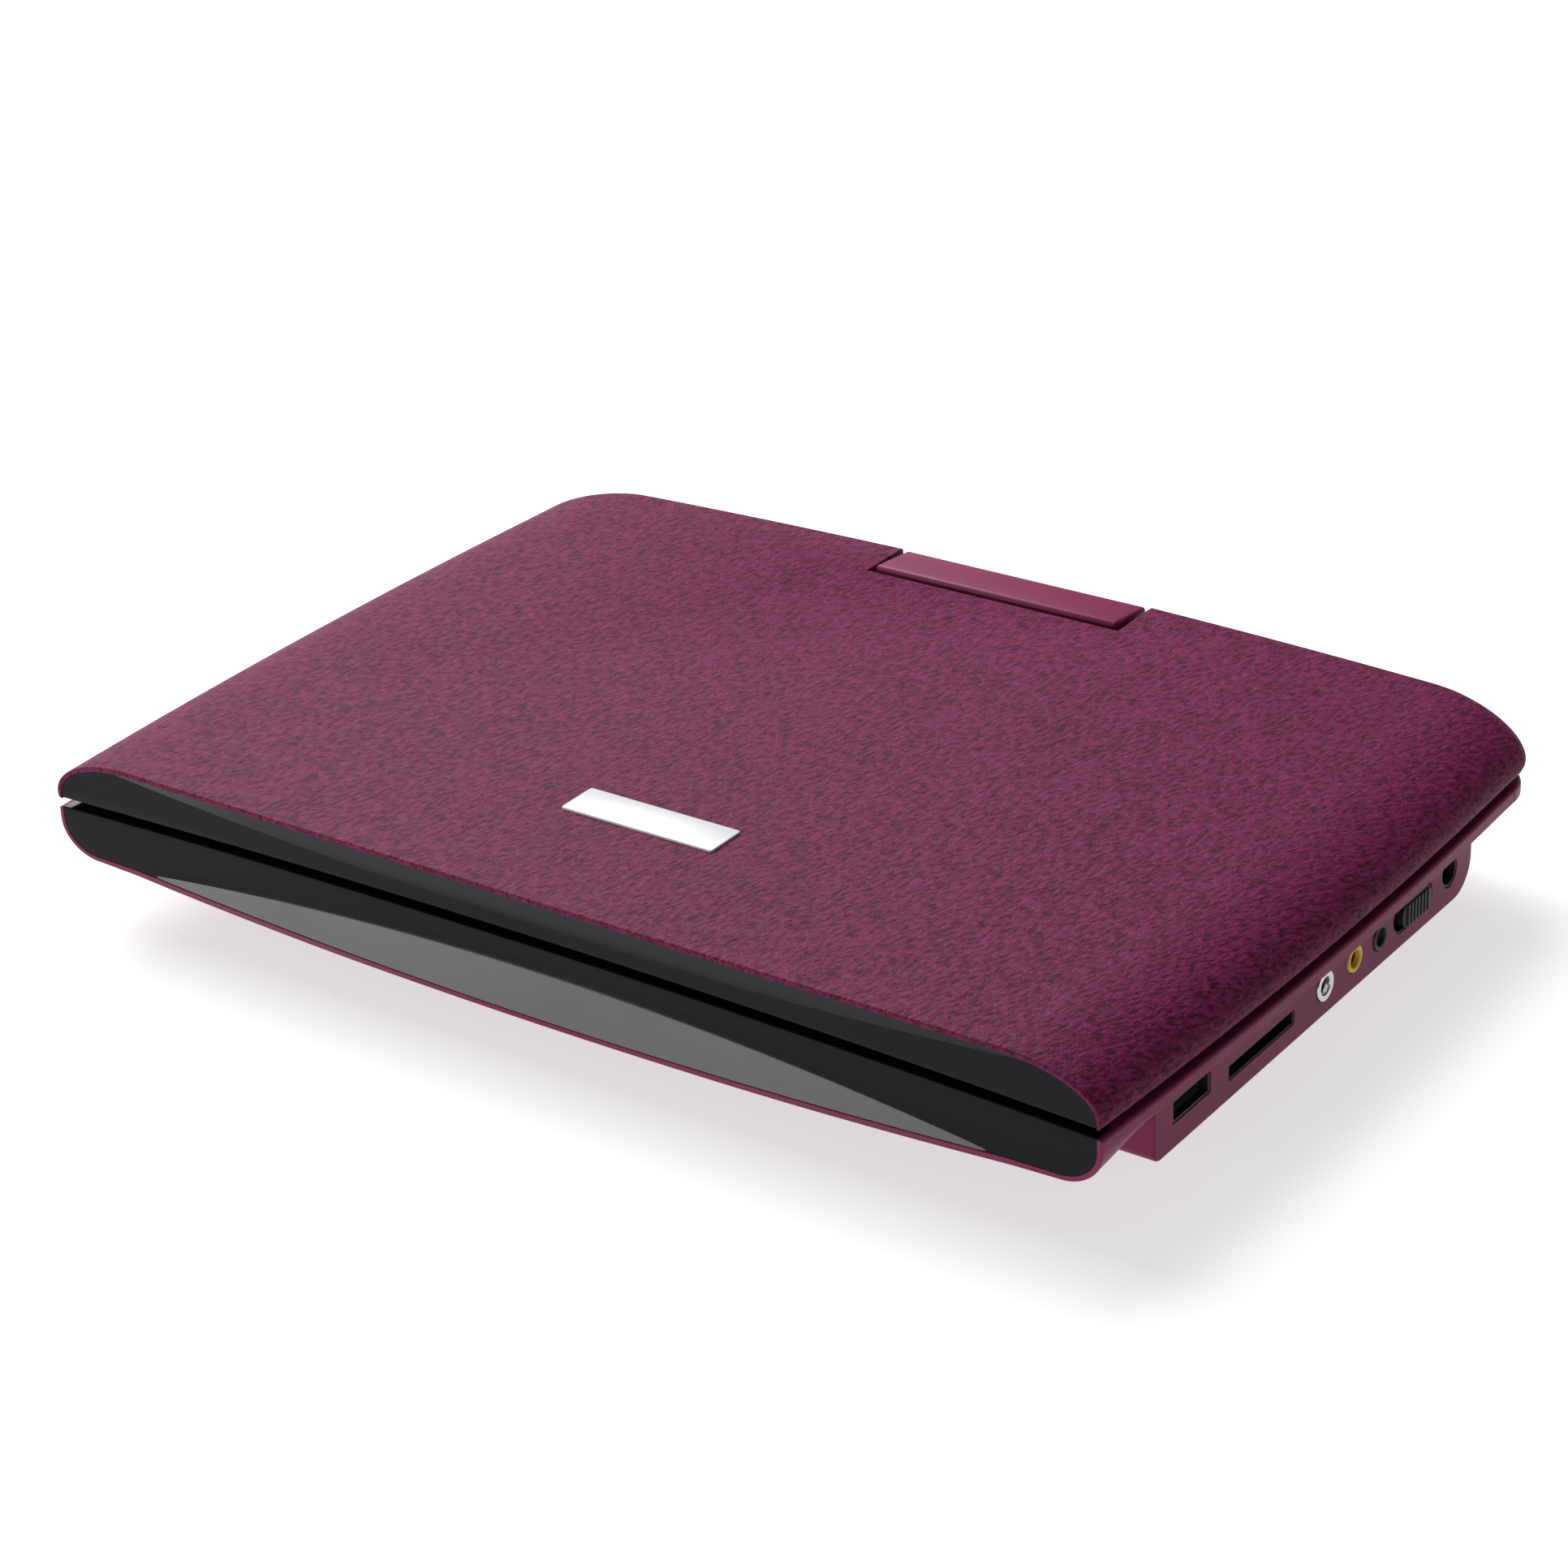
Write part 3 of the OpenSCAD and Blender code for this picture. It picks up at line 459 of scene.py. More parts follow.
WALL = 2.0
BELLY_HALF, BELLY_FRONT, BELLY_REAR, BELLY_Z = 118.6, -58.0, 69.0, 0.8
BELLY_FRONT_ROUND, BELLY_REAR_ROUND, BELLY_TOP = 2.4, 7.5, 17.0
PANEL_X = BELLY_HALF - WALL  # where the socket panel starts
PANEL_TOP = 13.9
DECK_INSET, DECK_REAR = 2.6, 3.4  # from the case's outer edge to the deck


def belly_side(inset, floor=BELLY_Z, top=BELLY_TOP):
    """Side outline of the belly in y and z."""
    points = arc(
        BELLY_FRONT + BELLY_FRONT_ROUND, floor + BELLY_FRONT_ROUND, BELLY_FRONT_ROUND - inset, 180, 270, 6
    )
    points += arc(
        BELLY_REAR - BELLY_REAR_ROUND, floor + BELLY_REAR_ROUND, BELLY_REAR_ROUND - inset, 270, 360, 12
    )
    return points + [(BELLY_REAR - inset, top), (BELLY_FRONT + inset, top)]


EDGE_ROUND = 0.5
ROUND_STEPS = [(0.0, 1.0), (0.134, 0.5), (0.5, 0.134), (1.0, 0.0)]


def belly(name, x0, x1, round0, round1, top=BELLY_TOP):
    """The belly's body between two places along its width; its ends may be rounded."""
    levels = []
    levels += [(x0 + EDGE_ROUND * a, EDGE_ROUND * b) for a, b in ROUND_STEPS] if round0 else [(x0, 0)]
    levels += (
        [(x1 - EDGE_ROUND * a, EDGE_ROUND * b) for a, b in reversed(ROUND_STEPS)] if round1 else [(x1, 0)]
    )
    return prism(name, "x", [(x, belly_side(i, top=top)) for x, i in levels])


def cavity():
    """The hollow of the base: the dish's inside up through the deck's opening, and the belly's inside."""
    levels = []
    for z in (14.6, 15.4, 16.6, 18.2, 20, 22.3, 30):
        drop = max(0.0, ROLL_TOP - z) / ROLL_Z
        half = FRONT_HALF - ROLL_X * drop
        outline = case_outline(
            half + SIDE_BULGE - DECK_INSET, FRONT_Y + POCKET + 1.0, dish_rear(z) - DECK_REAR, REAR_CORNER - 1
        )
        levels.append((z, outline))
    hollow = prism("cavity", "z", levels)
    for x0, x1, top in ((WALL - BELLY_HALF, PANEL_X - WALL, BELLY_TOP + 3), (0, PANEL_X + 1, 13)):
        inside = prism("belly_cavity", "x", [(x, belly_side(WALL, top=top)) for x in (x0, x1)])
        hollow = cut(hollow, inside, "UNION")
    return hollow


def base_trim_section(x, bottom):
    """Cross-section of the base's black trim at x, from the bottom of its face round to its back."""
    top_round = 0.3
    crease = min(max(SLOPE_START + scoop_depth(x) / SLOPE, bottom + 0.05), RIM_TOP - top_round - 0.1)
    zs = [bottom + (crease - bottom) * i / 6 for i in range(7)]
    zs += [crease + (RIM_TOP - top_round - crease) * i / 4 for i in range(1, 5)]
    points = [(FRONT_Y + TRIM_GAP + base_front(x, z), z) for z in zs]
    y = points[-1][0]
    for a in (22.5, 45, 67.5, 90):
        r = math.radians(a)
        points.append((y + top_round * (1 - math.cos(r)), RIM_TOP - top_round * (1 - math.sin(r))))
    back = FRONT_Y + POCKET - 0.05
    return points + [(back, RIM_TOP), (back, bottom)]


def spread(points):
    """Columns of a trim from its right half to its left half."""
    return points + [(-x, z) for x, z in reversed(points) if x > 0]


def base_trim():
    d = LIP + TRIM_GAP
    half = [
        (FRONT_HALF - ROLL_X + (ROLL_X - d) * math.cos(a), ROLL_TOP - (ROLL_Z - d) * math.sin(a))
        for a in (math.radians(90 * i / 16) for i in range(17))
    ]
    for i in range(1, 41):
        t = 1 - i / 40
        half.append(((KEEL_HALF - d) * t, KEEL_Z + d + KEEL_RISE * t * t))
    half = [p for i, p in enumerate(half) if i == 0 or p[0] < half[i - 1][0] - 0.01]
    s = Shape()
    rows = [s.row([(x, y, z) for y, z in base_trim_section(x, b)]) for x, b in spread(half)]
    for a, b in zip(rows, rows[1:]):
        s.bridge(a, b, close=True)
    s.fill(rows[0])
    s.fill(reversed(rows[-1]))
    return make("base_trim", s, 20)


def lid_trim_section(x, top):
    """Cross-section of the lid's black trim at x."""
    bottom = LID_LOW + 0.1
    edge = 0.25
    low = bottom + edge
    crease = LID_TOP - LIP - (scoop_depth(x) - LID_SET) / LID_SLOPE
    crease = max(min(crease, top - 0.02), low + 0.1)
    zs = [low + (crease - low) * i / 5 for i in range(6)]
    zs += [crease + (top - crease) * i / 5 for i in range(1, 6)]
    face = [(FRONT_Y + 0.15 + lid_front(x, z), z) for z in zs]
    y = face[0][0]
    under = [
        (y + edge * (1 - math.cos(math.radians(a))), low - edge * math.sin(math.radians(a)))
        for a in (90, 60, 30)
    ]
    back = FRONT_Y + POCKET - 0.05
    return under + face + [(back, top), (back, bottom)]


def lid_trim():
    d = LIP + TRIM_GAP
    n = 20
    half = [
        (
            FRONT_HALF - LID_ROLL_X + (LID_ROLL_X - d) * math.cos(a),
            LID_ROLL_START + (LID_ROLL_Z - d) * math.sin(a),
        )
        for a in (math.radians(90 * i / n) for i in range(1, n + 1))
    ]
    flat = FRONT_HALF - LID_ROLL_X
    half += [(flat * (1 - i / 36), LID_TOP - d) for i in range(1, 37)]
    s = Shape()
    rows = [s.row([(x, y, z) for y, z in lid_trim_section(x, t)]) for x, t in spread(half)]
    for a, b in zip(rows, rows[1:]):
        s.bridge(a, b, close=True)
    s.fill(rows[0])
    s.fill(reversed(rows[-1]))
    return make("lid_trim", s, 20)


# ---- Lid ----


def lid_levels():
    """(height, side inset, rear inset) from the lid's lower edge to its top."""
    levels = []
    for i in range(4):
        a = math.radians(90 - 30 * i)
        z = LID_ROLL_START - LID_TUCK * math.sin(a)
        levels.append((z, LID_TUCK * (1 - math.cos(a))))
    for i in range(1, 25):
        a = math.radians(90 * i / 24)
        levels.append((LID_ROLL_START + LID_ROLL_Z * math.sin(a), LID_ROLL_X * (1 - math.cos(a))))
    result = []
    for z, side in levels:
        rear = 0.0
        if z < 29:
            rear = 2 * (1 - math.sqrt(max(0.0, 1 - ((29 - z) / 2.3) ** 2)))
        elif z > LID_TOP - LID_EDGE:
            rear = LID_EDGE * (1 - math.sqrt(max(0.0, 1 - ((z - LID_TOP) / LID_EDGE + 1) ** 2)))
        result.append((z, side, rear))
    return result


def lid_profile(d):
    """Right half of the lid's front outline, inset by d, from its lower edge to its top."""
    points = []
    for z, side, _ in lid_levels():
        if z <= LID_ROLL_START:
            points.append((FRONT_HALF - max(side, d), z))
        else:
            sin_a = (z - LID_ROLL_START) / LID_ROLL_Z
            cos_a = 1 - side / LID_ROLL_X
            x = FRONT_HALF - LID_ROLL_X + (LID_ROLL_X - d) * cos_a
            points.append((x, LID_ROLL_START + (LID_ROLL_Z - d) * sin_a))
    return points


def lid_rows(s, inset, front):
    """Rows of the lid's skin, outer or inner."""
    profile = lid_profile(inset)
    rows = []
    for (x, z), (_, side, rear) in zip(profile, lid_levels()):
        outline = case_outline(x + SIDE_BULGE, front, REAR_Y - rear - inset, REAR_CORNER)
        rows.append(s.row([(px, py, z) for px, py in outline]))
    for a, b in zip(rows, rows[1:]):
        s.bridge(a, b)
    x, z = profile[-1]
    flat = case_outline(x + SIDE_BULGE - 1, front + 1, REAR_Y - lid_levels()[-1][2] - inset - 1, REAR_CORNER)
    inner = s.row([(px, py, z) for px, py in flat])
    s.bridge(rows[-1], inner)
    s.fill([rows[-1][-1], inner[-1], inner[0], rows[-1][0]])
    s.fill(inner)
    return rows


def lid_cover():
    """The leather-covered lid moulding: outer skin, front lip, inner skin and lower rim."""
    s = Shape()
    outer = lid_rows(s, 0, FRONT_Y + LIP_ROUND)
    inner = lid_rows(s, LID_WALL, FRONT_Y + POCKET + 1.2)
    loops = [[r[0] for r in outer] + [r[-1] for r in reversed(outer)]]
    steps = [(LIP_ROUND * (1 - math.cos(a)), LIP_ROUND * (1 - math.sin(a)))
             for a in (math.radians(30), math.radians(60), math.radians(90))]
    steps += [(LIP - 0.15, 0), (LIP - 0.04, 0.04), (LIP, 0.15), (LIP, POCKET)]
    for d, y in steps:
        right = lid_profile(d)
        outline = right + [(-x, z) for x, z in reversed(right)]
        loops.append(s.row([(x, FRONT_Y + y, z) for x, z in outline]))
    inside = [r[0] for r in inner] + [r[-1] for r in reversed(inner)]
    for a, b in zip(loops, loops[1:]):
        s.bridge(a, b)
    s.bridge(loops[-1], inside)
    s.bridge(outer[0], inner[0])
    s.fill([l[0] for l in loops] + [inside[0]])
    s.fill([inside[-1]] + [l[-1] for l in reversed(loops)])
    return make("lid_cover", s)


# ---- Materials ----


def shader(name, colour, roughness, metallic=0.0, specular=0.5):
    """A material with its main shader, ready for patterns."""
    mat = bpy.data.materials.new(name)
    mat.use_nodes = True
    tree = mat.node_tree
    main = tree.nodes["Principled BSDF"]
    main.inputs["Base Color"].default_value = (*colour, 1)
    main.inputs["Roughness"].default_value = roughness
    main.inputs["Metallic"].default_value = metallic
    main.inputs["Specular IOR Level"].default_value = specular
    return mat, tree, main


def node(tree, kind, inputs=(), **settings):
    n = tree.nodes.new(kind)
    for key, value in settings.items():
        setattr(n, key, value)
    for key, value in dict(inputs).items():
        if isinstance(value, bpy.types.NodeSocket):
            tree.links.new(value, n.inputs[key])
        else:
            n.inputs[key].default_value = value
    return n


def coordinates(tree, scale=(1, 1, 1), turn=(0, 0, 0)):
    """The piece's own coordinates, turned and stretched."""
    tex = node(tree, "ShaderNodeTexCoord")
    mapping = node(
        tree,
        "ShaderNodeMapping",
        {"Vector": tex.outputs["Object"], "Rotation": turn, "Scale": scale},
    )
    return mapping.outputs["Vector"]


def noise(tree, vector, scale, detail=2.0, roughness=0.5, distortion=0.0):
    n = node(
        tree,
        "ShaderNodeTexNoise",
        {"Vector": vector, "Scale": scale, "Detail": detail, "Roughness": roughness, "Distortion": distortion},
    )
    return n.outputs["Fac"]


def ramp(tree, value, stops):
    """A colour ramp: stops = [(place, colour), ...]."""
    r = node(tree, "ShaderNodeValToRGB", {"Fac": value})
    elements = r.color_ramp.elements
    while len(elements) < len(stops):
        elements.new(0.5)
    for e, (place, colour) in zip(elements, stops):
        e.position = place
        e.color = (*colour, 1) if len(colour) == 3 else colour
    return r.outputs["Color"]


def math_node(tree, operation, *values, clamp=False):
    n = node(tree, "ShaderNodeMath", operation=operation, use_clamp=clamp)
    for i, v in enumerate(values):
        if isinstance(v, bpy.types.NodeSocket):
            tree.links.new(v, n.inputs[i])
        else:
            n.inputs[i].default_value = v
    return n.outputs[0]


def span(tree, value, low, high):
    """value from 0..1 stretched to low..high."""
    n = node(tree, "ShaderNodeMapRange", {"Value": value, "To Min": low, "To Max": high})
    return n.outputs["Result"]


def bump(tree, main, height, distance_mm, strength=1.0, normal=None):
    inputs = {"Height": height, "Distance": distance_mm * MM, "Strength": strength}
    if normal is not None:
        inputs["Normal"] = normal
    b = node(tree, "ShaderNodeBump", inputs)
    tree.links.new(b.outputs["Normal"], main.inputs["Normal"])
    return b.outputs["Normal"]


def moulded(name, colour, roughness, grain_mm=0.25, depth_mm=0.006, specular=0.5, mottling=0.12):
    """Moulded plastic: fine spark texture, faint cloudy tone and uneven gloss."""
    mat, tree, main = shader(name, colour, roughness, 0, specular)
    place = coordinates(tree)
    cloud = noise(tree, place, 60, 3)
    dark = tuple(c * (1 - mottling) for c in colour)
    light = tuple(min(1, c * (1 + mottling)) for c in colour)
    tree.links.new(ramp(tree, cloud, [(0.3, dark), (0.7, light)]), main.inputs["Base Color"])
    fine = noise(tree, place, 1000 / grain_mm, 2)
    tree.links.new(span(tree, cloud, roughness - 0.05, roughness + 0.06), main.inputs["Roughness"])
    bump(tree, main, fine, depth_mm)
    return mat


PLUM = (0.190, 0.024, 0.076)
LEATHER = (0.125, 0.0115, 0.052)
GRAIN_TURN, GRAIN_STRETCH = 22, 0.40  # the folds' slant in degrees, and how much longer than wide they are
plum = moulded("plum_plastic", PLUM, 0.4, grain_mm=0.3, depth_mm=0.008, specular=0.12, mottling=0.06)


def leather_material():
    """Fine-grained leatherette: short folds that run mostly front to back, with painted shade in their valleys
    and painted highlight on their ridges.
    """
    mat, tree, main = shader("plum_leather", LEATHER, 0.55, 0, 0.07)
    turned = coordinates(tree, turn=(0, 0, math.radians(GRAIN_TURN)))
    grain = node(tree, "ShaderNodeMapping", {"Vector": turned, "Scale": (1, GRAIN_STRETCH, 1)}).outputs["Vector"]
    folds = noise(tree, grain, 1250, 3, 0.55, 0.4)
    fine = noise(tree, turned, 3200, 2)
    patches = noise(tree, turned, 90, 2)
    height = math_node(tree, "ADD", folds, math_node(tree, "MULTIPLY", span(tree, fine, -0.5, 0.5), 0.22))
    # The colour follows the folds' height, giving painted shade in the valleys and painted highlight on the
    # ridges, mixed with random patches of tone.
    painted_fold_shade_and_tone = math_node(tree, "ADD", height, math_node(tree, "MULTIPLY", span(tree, patches, -0.5, 0.5), 0.09))
    dark = tuple(c * 0.42 for c in LEATHER)
    light = tuple(c * 1.45 for c in LEATHER)
    tree.links.new(ramp(tree, painted_fold_shade_and_tone, [(0.35, dark), (0.5, LEATHER), (0.66, light)]), main.inputs["Base Color"])
    tree.links.new(span(tree, height, 0.62, 0.42), main.inputs["Roughness"])
    bump(tree, main, height, 0.32)
    return mat


leather = leather_material()


def gloss_material(name, colour, roughness=0.09, specular=0.3):
    """Polished black plastic with the faintest haze."""
    mat, tree, main = shader(name, colour, roughness, 0, specular)
    place = coordinates(tree)
    haze = noise(tree, place, 35, 4, 0.6)
    tree.links.new(span(tree, haze, roughness - 0.02, roughness + 0.05), main.inputs["Roughness"])
    tree.links.new(
        ramp(tree, haze, [(0.3, colour), (0.7, tuple(c * 1.2 for c in colour))]), main.inputs["Base Color"]
    )
    bump(tree, main, noise(tree, place, 3500, 1), 0.001)
    return mat


gloss_black = gloss_material("gloss_black", (0.0050, 0.0056, 0.0068), 0.12, 0.10)
black_plastic = moulded("black_plastic", (0.012, 0.012, 0.013), 0.5, grain_mm=0.35, depth_mm=0.01)
yellow_plastic = moulded("yellow_plastic", (0.72, 0.46, 0.02), 0.35, depth_mm=0.003)
white_label = moulded("white_label", (0.62, 0.63, 0.64), 0.3, depth_mm=0.002, mottling=0.02)
rubber = moulded("rubber", (0.02, 0.02, 0.021), 0.8, grain_mm=0.5, depth_mm=0.03)


def metal_material(name, colour, roughness, stretch=(1, 1, 1), depth_mm=0.004):
    """Bare metal with drawn streaks."""
    mat, tree, main = shader(name, colour, roughness, 1.0)
    streaks = noise(tree, coordinates(tree, stretch), 2500, 2)
    tree.links.new(span(tree, streaks, roughness * 0.75, roughness * 1.35), main.inputs["Roughness"])
    tree.links.new(
        ramp(tree, streaks, [(0.2, tuple(c * 0.85 for c in colour)), (0.8, colour)]), main.inputs["Base Color"]
    )
    bump(tree, main, streaks, depth_mm)
    return mat


steel = metal_material("steel", (0.56, 0.57, 0.58), 0.32, (0.05, 1, 1))
chrome = metal_material("chrome", (0.82, 0.83, 0.84), 0.14, depth_mm=0.001)
gold = metal_material("gold_contacts", (0.83, 0.62, 0.28), 0.25, depth_mm=0.001)
bronze = metal_material("bronze", (0.55, 0.36, 0.16), 0.38)
silicone = moulded("silicone", (0.42, 0.42, 0.44), 0.6, grain_mm=0.6, depth_mm=0.02)
circuit_board = moulded("circuit_board", (0.012, 0.10, 0.035), 0.35, grain_mm=0.8, depth_mm=0.01, mottling=0.25)
cell_wrap = gloss_material("cell_wrap", (0.02, 0.05, 0.16), 0.3, 0.45)
display = gloss_material("display", (0.006, 0.007, 0.009), 0.12, 0.5)
lens_glass = gloss_material("lens_glass", (0.05, 0.06, 0.16), 0.05, 0.8)


# ---- Camera, floor and light ----

AZIMUTH, ELEVATION, ROLL = 36.5, 26.51, -2.6
camera_data = bpy.data.cameras.new("camera")
camera_data.sensor_width = 36
camera_data.lens = 91.09
camera = bpy.data.objects.new("camera", camera_data)
bpy.context.scene.collection.objects.link(camera)
turn = (
    Matrix.Rotation(math.radians(AZIMUTH), 4, "Z")
    @ Matrix.Rotation(math.radians(90 - ELEVATION), 4, "X")
    @ Matrix.Rotation(math.radians(ROLL), 4, "Z")
)
camera.matrix_world = Matrix.Translation((0.4324, -0.59008, 0.38853)) @ turn
bpy.context.scene.camera = camera

floor_mesh = bpy.data.meshes.new("floor")
FLOOR = 4.0
floor_mesh.from_pydata(
    [(-FLOOR, -FLOOR, 0), (FLOOR, -FLOOR, 0), (FLOOR, FLOOR, 0), (-FLOOR, FLOOR, 0)], [], [(0, 1, 2, 3)]
)
floor = bpy.data.objects.new("floor", floor_mesh)
bpy.context.scene.collection.objects.link(floor)
floor_mat, _, floor_main = shader("floor", (0.5, 0.5, 0.5), 0.9)
floor_main.inputs["Emission Color"].default_value = (1, 1, 1, 1)
floor_main.inputs["Emission Strength"].default_value = 0.65  # a light table, the same all over
floor_mesh.materials.append(floor_mat)

world = bpy.data.worlds.new("studio")
bpy.context.scene.world = world
world.use_nodes = True
world.node_tree.nodes["Background"].inputs["Color"].default_value = (1, 1, 1, 1)
world.node_tree.nodes["Background"].inputs["Strength"].default_value = 0.17
bpy.context.scene.view_settings.view_transform = "Standard"


def softbox(name, place, aim, size, watts):
    data = bpy.data.lights.new(name, "AREA")
    data.shape = "RECTANGLE"
    data.size, data.size_y = size
    data.energy = watts
    light = bpy.data.objects.new(name, data)
    bpy.context.scene.collection.objects.link(light)
    light.matrix_world = Matrix.Translation(place) @ (Vector(aim) - Vector(place)).to_track_quat(
        "-Z", "Y"
    ).to_matrix().to_4x4()
    return light


softbox("top_box", (-0.9, 0.45, 1.1), (0, 0, 0), (1.3, 1.2), 39)
softbox("front_box", (-0.72, -1.0, 0.065), (0, -0.08, 0.02), (0.8, 0.12), 5.5)


# ---- The pieces ----


def cylinder(name, axis, centre, r, h0, h1, n=48):
    return lathe(name, axis, centre, [(0, h0), (r, h0), (r, h1), (0, h1)], n)


def stadium(y, z, length, height, grow=0.0, n=10):
    """Outline with round ends in y and z."""
    r = height / 2 + grow
    reach = (length - height) / 2
    return arc(y + reach, z, r, -90, 90, n) + arc(y - reach, z, r, 90, 270, n)


def grid_box(low, high):
    return rounded_box("cutter", low, high, 0)


def softened(node_name, width, segments=2, sharp=38):
    """The node's own solid with its flat faces merged and its sharp edges rounded."""
    mesh = nodes[node_name].data.copy()
    obj = bpy.data.objects.new(node_name + "_soft", mesh)
    bpy.context.scene.collection.objects.link(obj)
    obj.matrix_world = nodes[node_name].matrix_world.copy()
    bm = bmesh.new()
    bm.from_mesh(mesh)
    bmesh.ops.remove_doubles(bm, verts=bm.verts, dist=0.002 * MM)
    bmesh.ops.dissolve_limit(
        bm, angle_limit=math.radians(0.4), verts=bm.verts, edges=bm.edges, delimit={"NORMAL"}
    )
    edges = [
        e for e in bm.edges if len(e.link_faces) == 2 and math.degrees(e.calc_face_angle(0)) > sharp
    ]
    bmesh.ops.bevel(
        bm,
        geom=edges,
        offset=width * MM,
        segments=segments,
        profile=0.5,
        affect="EDGES",
        clamp_overlap=True,
    )
    bmesh.ops.triangulate(bm, faces=[f for f in bm.faces if len(f.verts) > 4])
    bm.to_mesh(mesh)
    bm.free()
    return even_shading(tidy(obj, 32))


MATERIALS = {
    "plum_shell": plum,
    "plum_leather": leather,
    "gloss_black": gloss_black,
    "black_plastic": black_plastic,
    "yellow_plastic": yellow_plastic,
    "white_label": white_label,
    "rubber": rubber,
    "silicone": silicone,
    "steel": steel,
    "chrome": chrome,
    "bronze": bronze,
    "circuit_board": circuit_board,
    "cell_wrap": cell_wrap,
    "display": display,
    "lens": lens_glass,
}
BODY_OF, SLOT_OF = {}, {}
for subpart in frame["record"]["subparts"]:
    name = subpart["node"]
    BODY_OF[name] = nodes[name]["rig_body"]
    SLOT_OF[name] = subpart["material_slot"]
    mat = MATERIALS[SLOT_OF[name]]
    nodes[name].data.materials.clear()
    nodes[name].data.materials.append(mat)


def piece(obj, like, *stands_for, slot=None, material=None):
    """Finishes a piece that belongs with a node: same body, and the material of the node's slot unless another
    slot or material is given.
    """
    slot = slot or SLOT_OF[like]
    return finish_piece(obj, BODY_OF[like], slot, material or MATERIALS[slot], *stands_for)


# Case

USB, CARD, PHONES, AV_OUT, AV_IN = (-44.5, 8.65), (-18.2, 6.6), (6.5, 7.4), (18.5, 7.7), (29.2, 7.5)
POWER, DC_IN = (43.2, 7.6), (59.1, 8.4)
REAR_SPLIT = 70.0
FEET = [(x, y) for x in (-96, 96) for y in (-52, 56)]
BOSSES = [(-108, -49), (-108, 55), (60, -50), (60, 56), (-46, 56)]

case = base_dish()
case = cut(case, belly("belly", -BELLY_HALF, PANEL_X, True, False), "UNION")
case = cut(case, cavity())
case = cut(case, grid_box((-104.3, -46.3, -1), (-47.7, 48.3, 3)))
for x, y in FEET:
    case = cut(case, cylinder("recess", "z", (x, y), 4.6, -1, 1.7))
for x, y in BOSSES:
    case = cut(case, cylinder("recess", "z", (x, y), 2.8, -1, 2.6))
for side in (-1, 1):
    low, high = sorted((side * 25.6, side * 31.4))
    case = cut(case, grid_box((low, 83.9, 20.2), (high, 95, 30)))
rear = case.copy()
rear.data = case.data.copy()
bpy.context.scene.collection.objects.link(rear)
case = cut(case, grid_box((-200, REAR_SPLIT, -10), (200, 200, 60)))
rear = cut(rear, grid_box((-200, -200, -10), (200, REAR_SPLIT + 0.3, 60)))
case = cut(case, grid_box((-122, FRONT_Y + POCKET - 0.02, 22.6), (122, FRONT_Y + POCKET + 1.7, 30)))
piece(even_shading(case), "base_shell", "base_shell")
piece(even_shading(rear), "rear_cover", "rear_cover")
piece(base_trim(), "base_front_trim", "base_front_trim")
piece(lid_trim(), "lid_front_trim", "lid_front_trim")

# Socket panel


def slot_outline(at, half_y, half_z, r):
    """Outline of an oblong opening in y and z."""
    return round_rect(at[0] - half_y, at[0] + half_y, at[1] - half_z, at[1] + half_z, r)


def opening_edge(a, b, angle):
    """True for the edges of the openings on the panel's outer face."""
    on_face = min(a.x, b.x) > BELLY_HALF - 0.05
    return on_face and 1.6 < min(a.z, b.z) and max(a.z, b.z) < 12.6 and angle > 60


panel = belly("socket_panel", PANEL_X, BELLY_HALF, False, True, PANEL_TOP)
x0, x1 = PANEL_X - 1, BELLY_HALF + 1
holes = [
    prism("hole", "x", [(x, slot_outline(USB, 6.9, 2.45, 0.5)) for x in (x0, x1)]),
    prism("hole", "x", [(x, slot_outline(CARD, 12.6, 1.65, 0.6)) for x in (x0, x1)]),
    prism("hole", "x", [(x, stadium(*POWER, 16.6, 6.8)) for x in (x0, x1)]),
    cylinder("hole", "x", PHONES, 3.3, x0, x1),
    cylinder("hole", "x", AV_OUT, 3.0, x0, x1),
    cylinder("hole", "x", AV_IN, 3.0, x0, x1),
    cylinder("hole", "x", DC_IN, 3.3, x0, x1),
]
for hole in holes:
    panel = cut(panel, hole)
panel = soften(panel, opening_edge, 0.22)
piece(even_shading(panel), "port_panel", "port_panel")


def jack(name, at, nose, slot, ring_slot=None):
    """A round socket: its housing and the ring that shows in the panel."""
    y, z = at
    front = BELLY_HALF + 0.35
    bore = 1.8
    ring = lathe(
        name + "_ring",
        "x",
        at,
        [
            (nose, 110), (nose, front - 0.35), (nose - 0.1, front - 0.1), (nose - 0.35, front),
            (bore + 0.55, front), (bore + 0.2, front - 0.12), (bore, front - 0.5), (bore, 110),
        ],
    )
    body = rounded_box(name, (102.4, y - 4.2, 4.2), (116.3, y + 4.2, z + 3.6), 0.4)
    body = cut(body, cylinder("bore", "x", at, bore, 104.6, 120))
    piece(body, name, slot="black_plastic")
    liner = lathe(
        name + "_liner",
        "x",
        at,
        [
            (bore - 0.02, 104.7), (bore - 0.02, front - 1.2), (bore - 0.3, front - 1.35),
            (bore - 0.42, 106), (bore - 0.42, 104.7),
        ],
        48,
    )
    piece(liner, name, slot="black_plastic")
    low, high = (108, y - 0.5, z + bore - 0.75), (117.2, y + 0.5, z + bore - 0.45)
    spring = rounded_box(name + "_spring", low, high, 0.1)
    piece(spring, name, slot="bronze", material=gold)
    piece(ring, name, name, slot=ring_slot)


jack("headphone_jack", PHONES, 3.2, "chrome")
jack("av_out_jack", AV_OUT, 2.9, "yellow_plastic")
jack("av_in_jack", AV_IN, 2.9, "black_plastic")


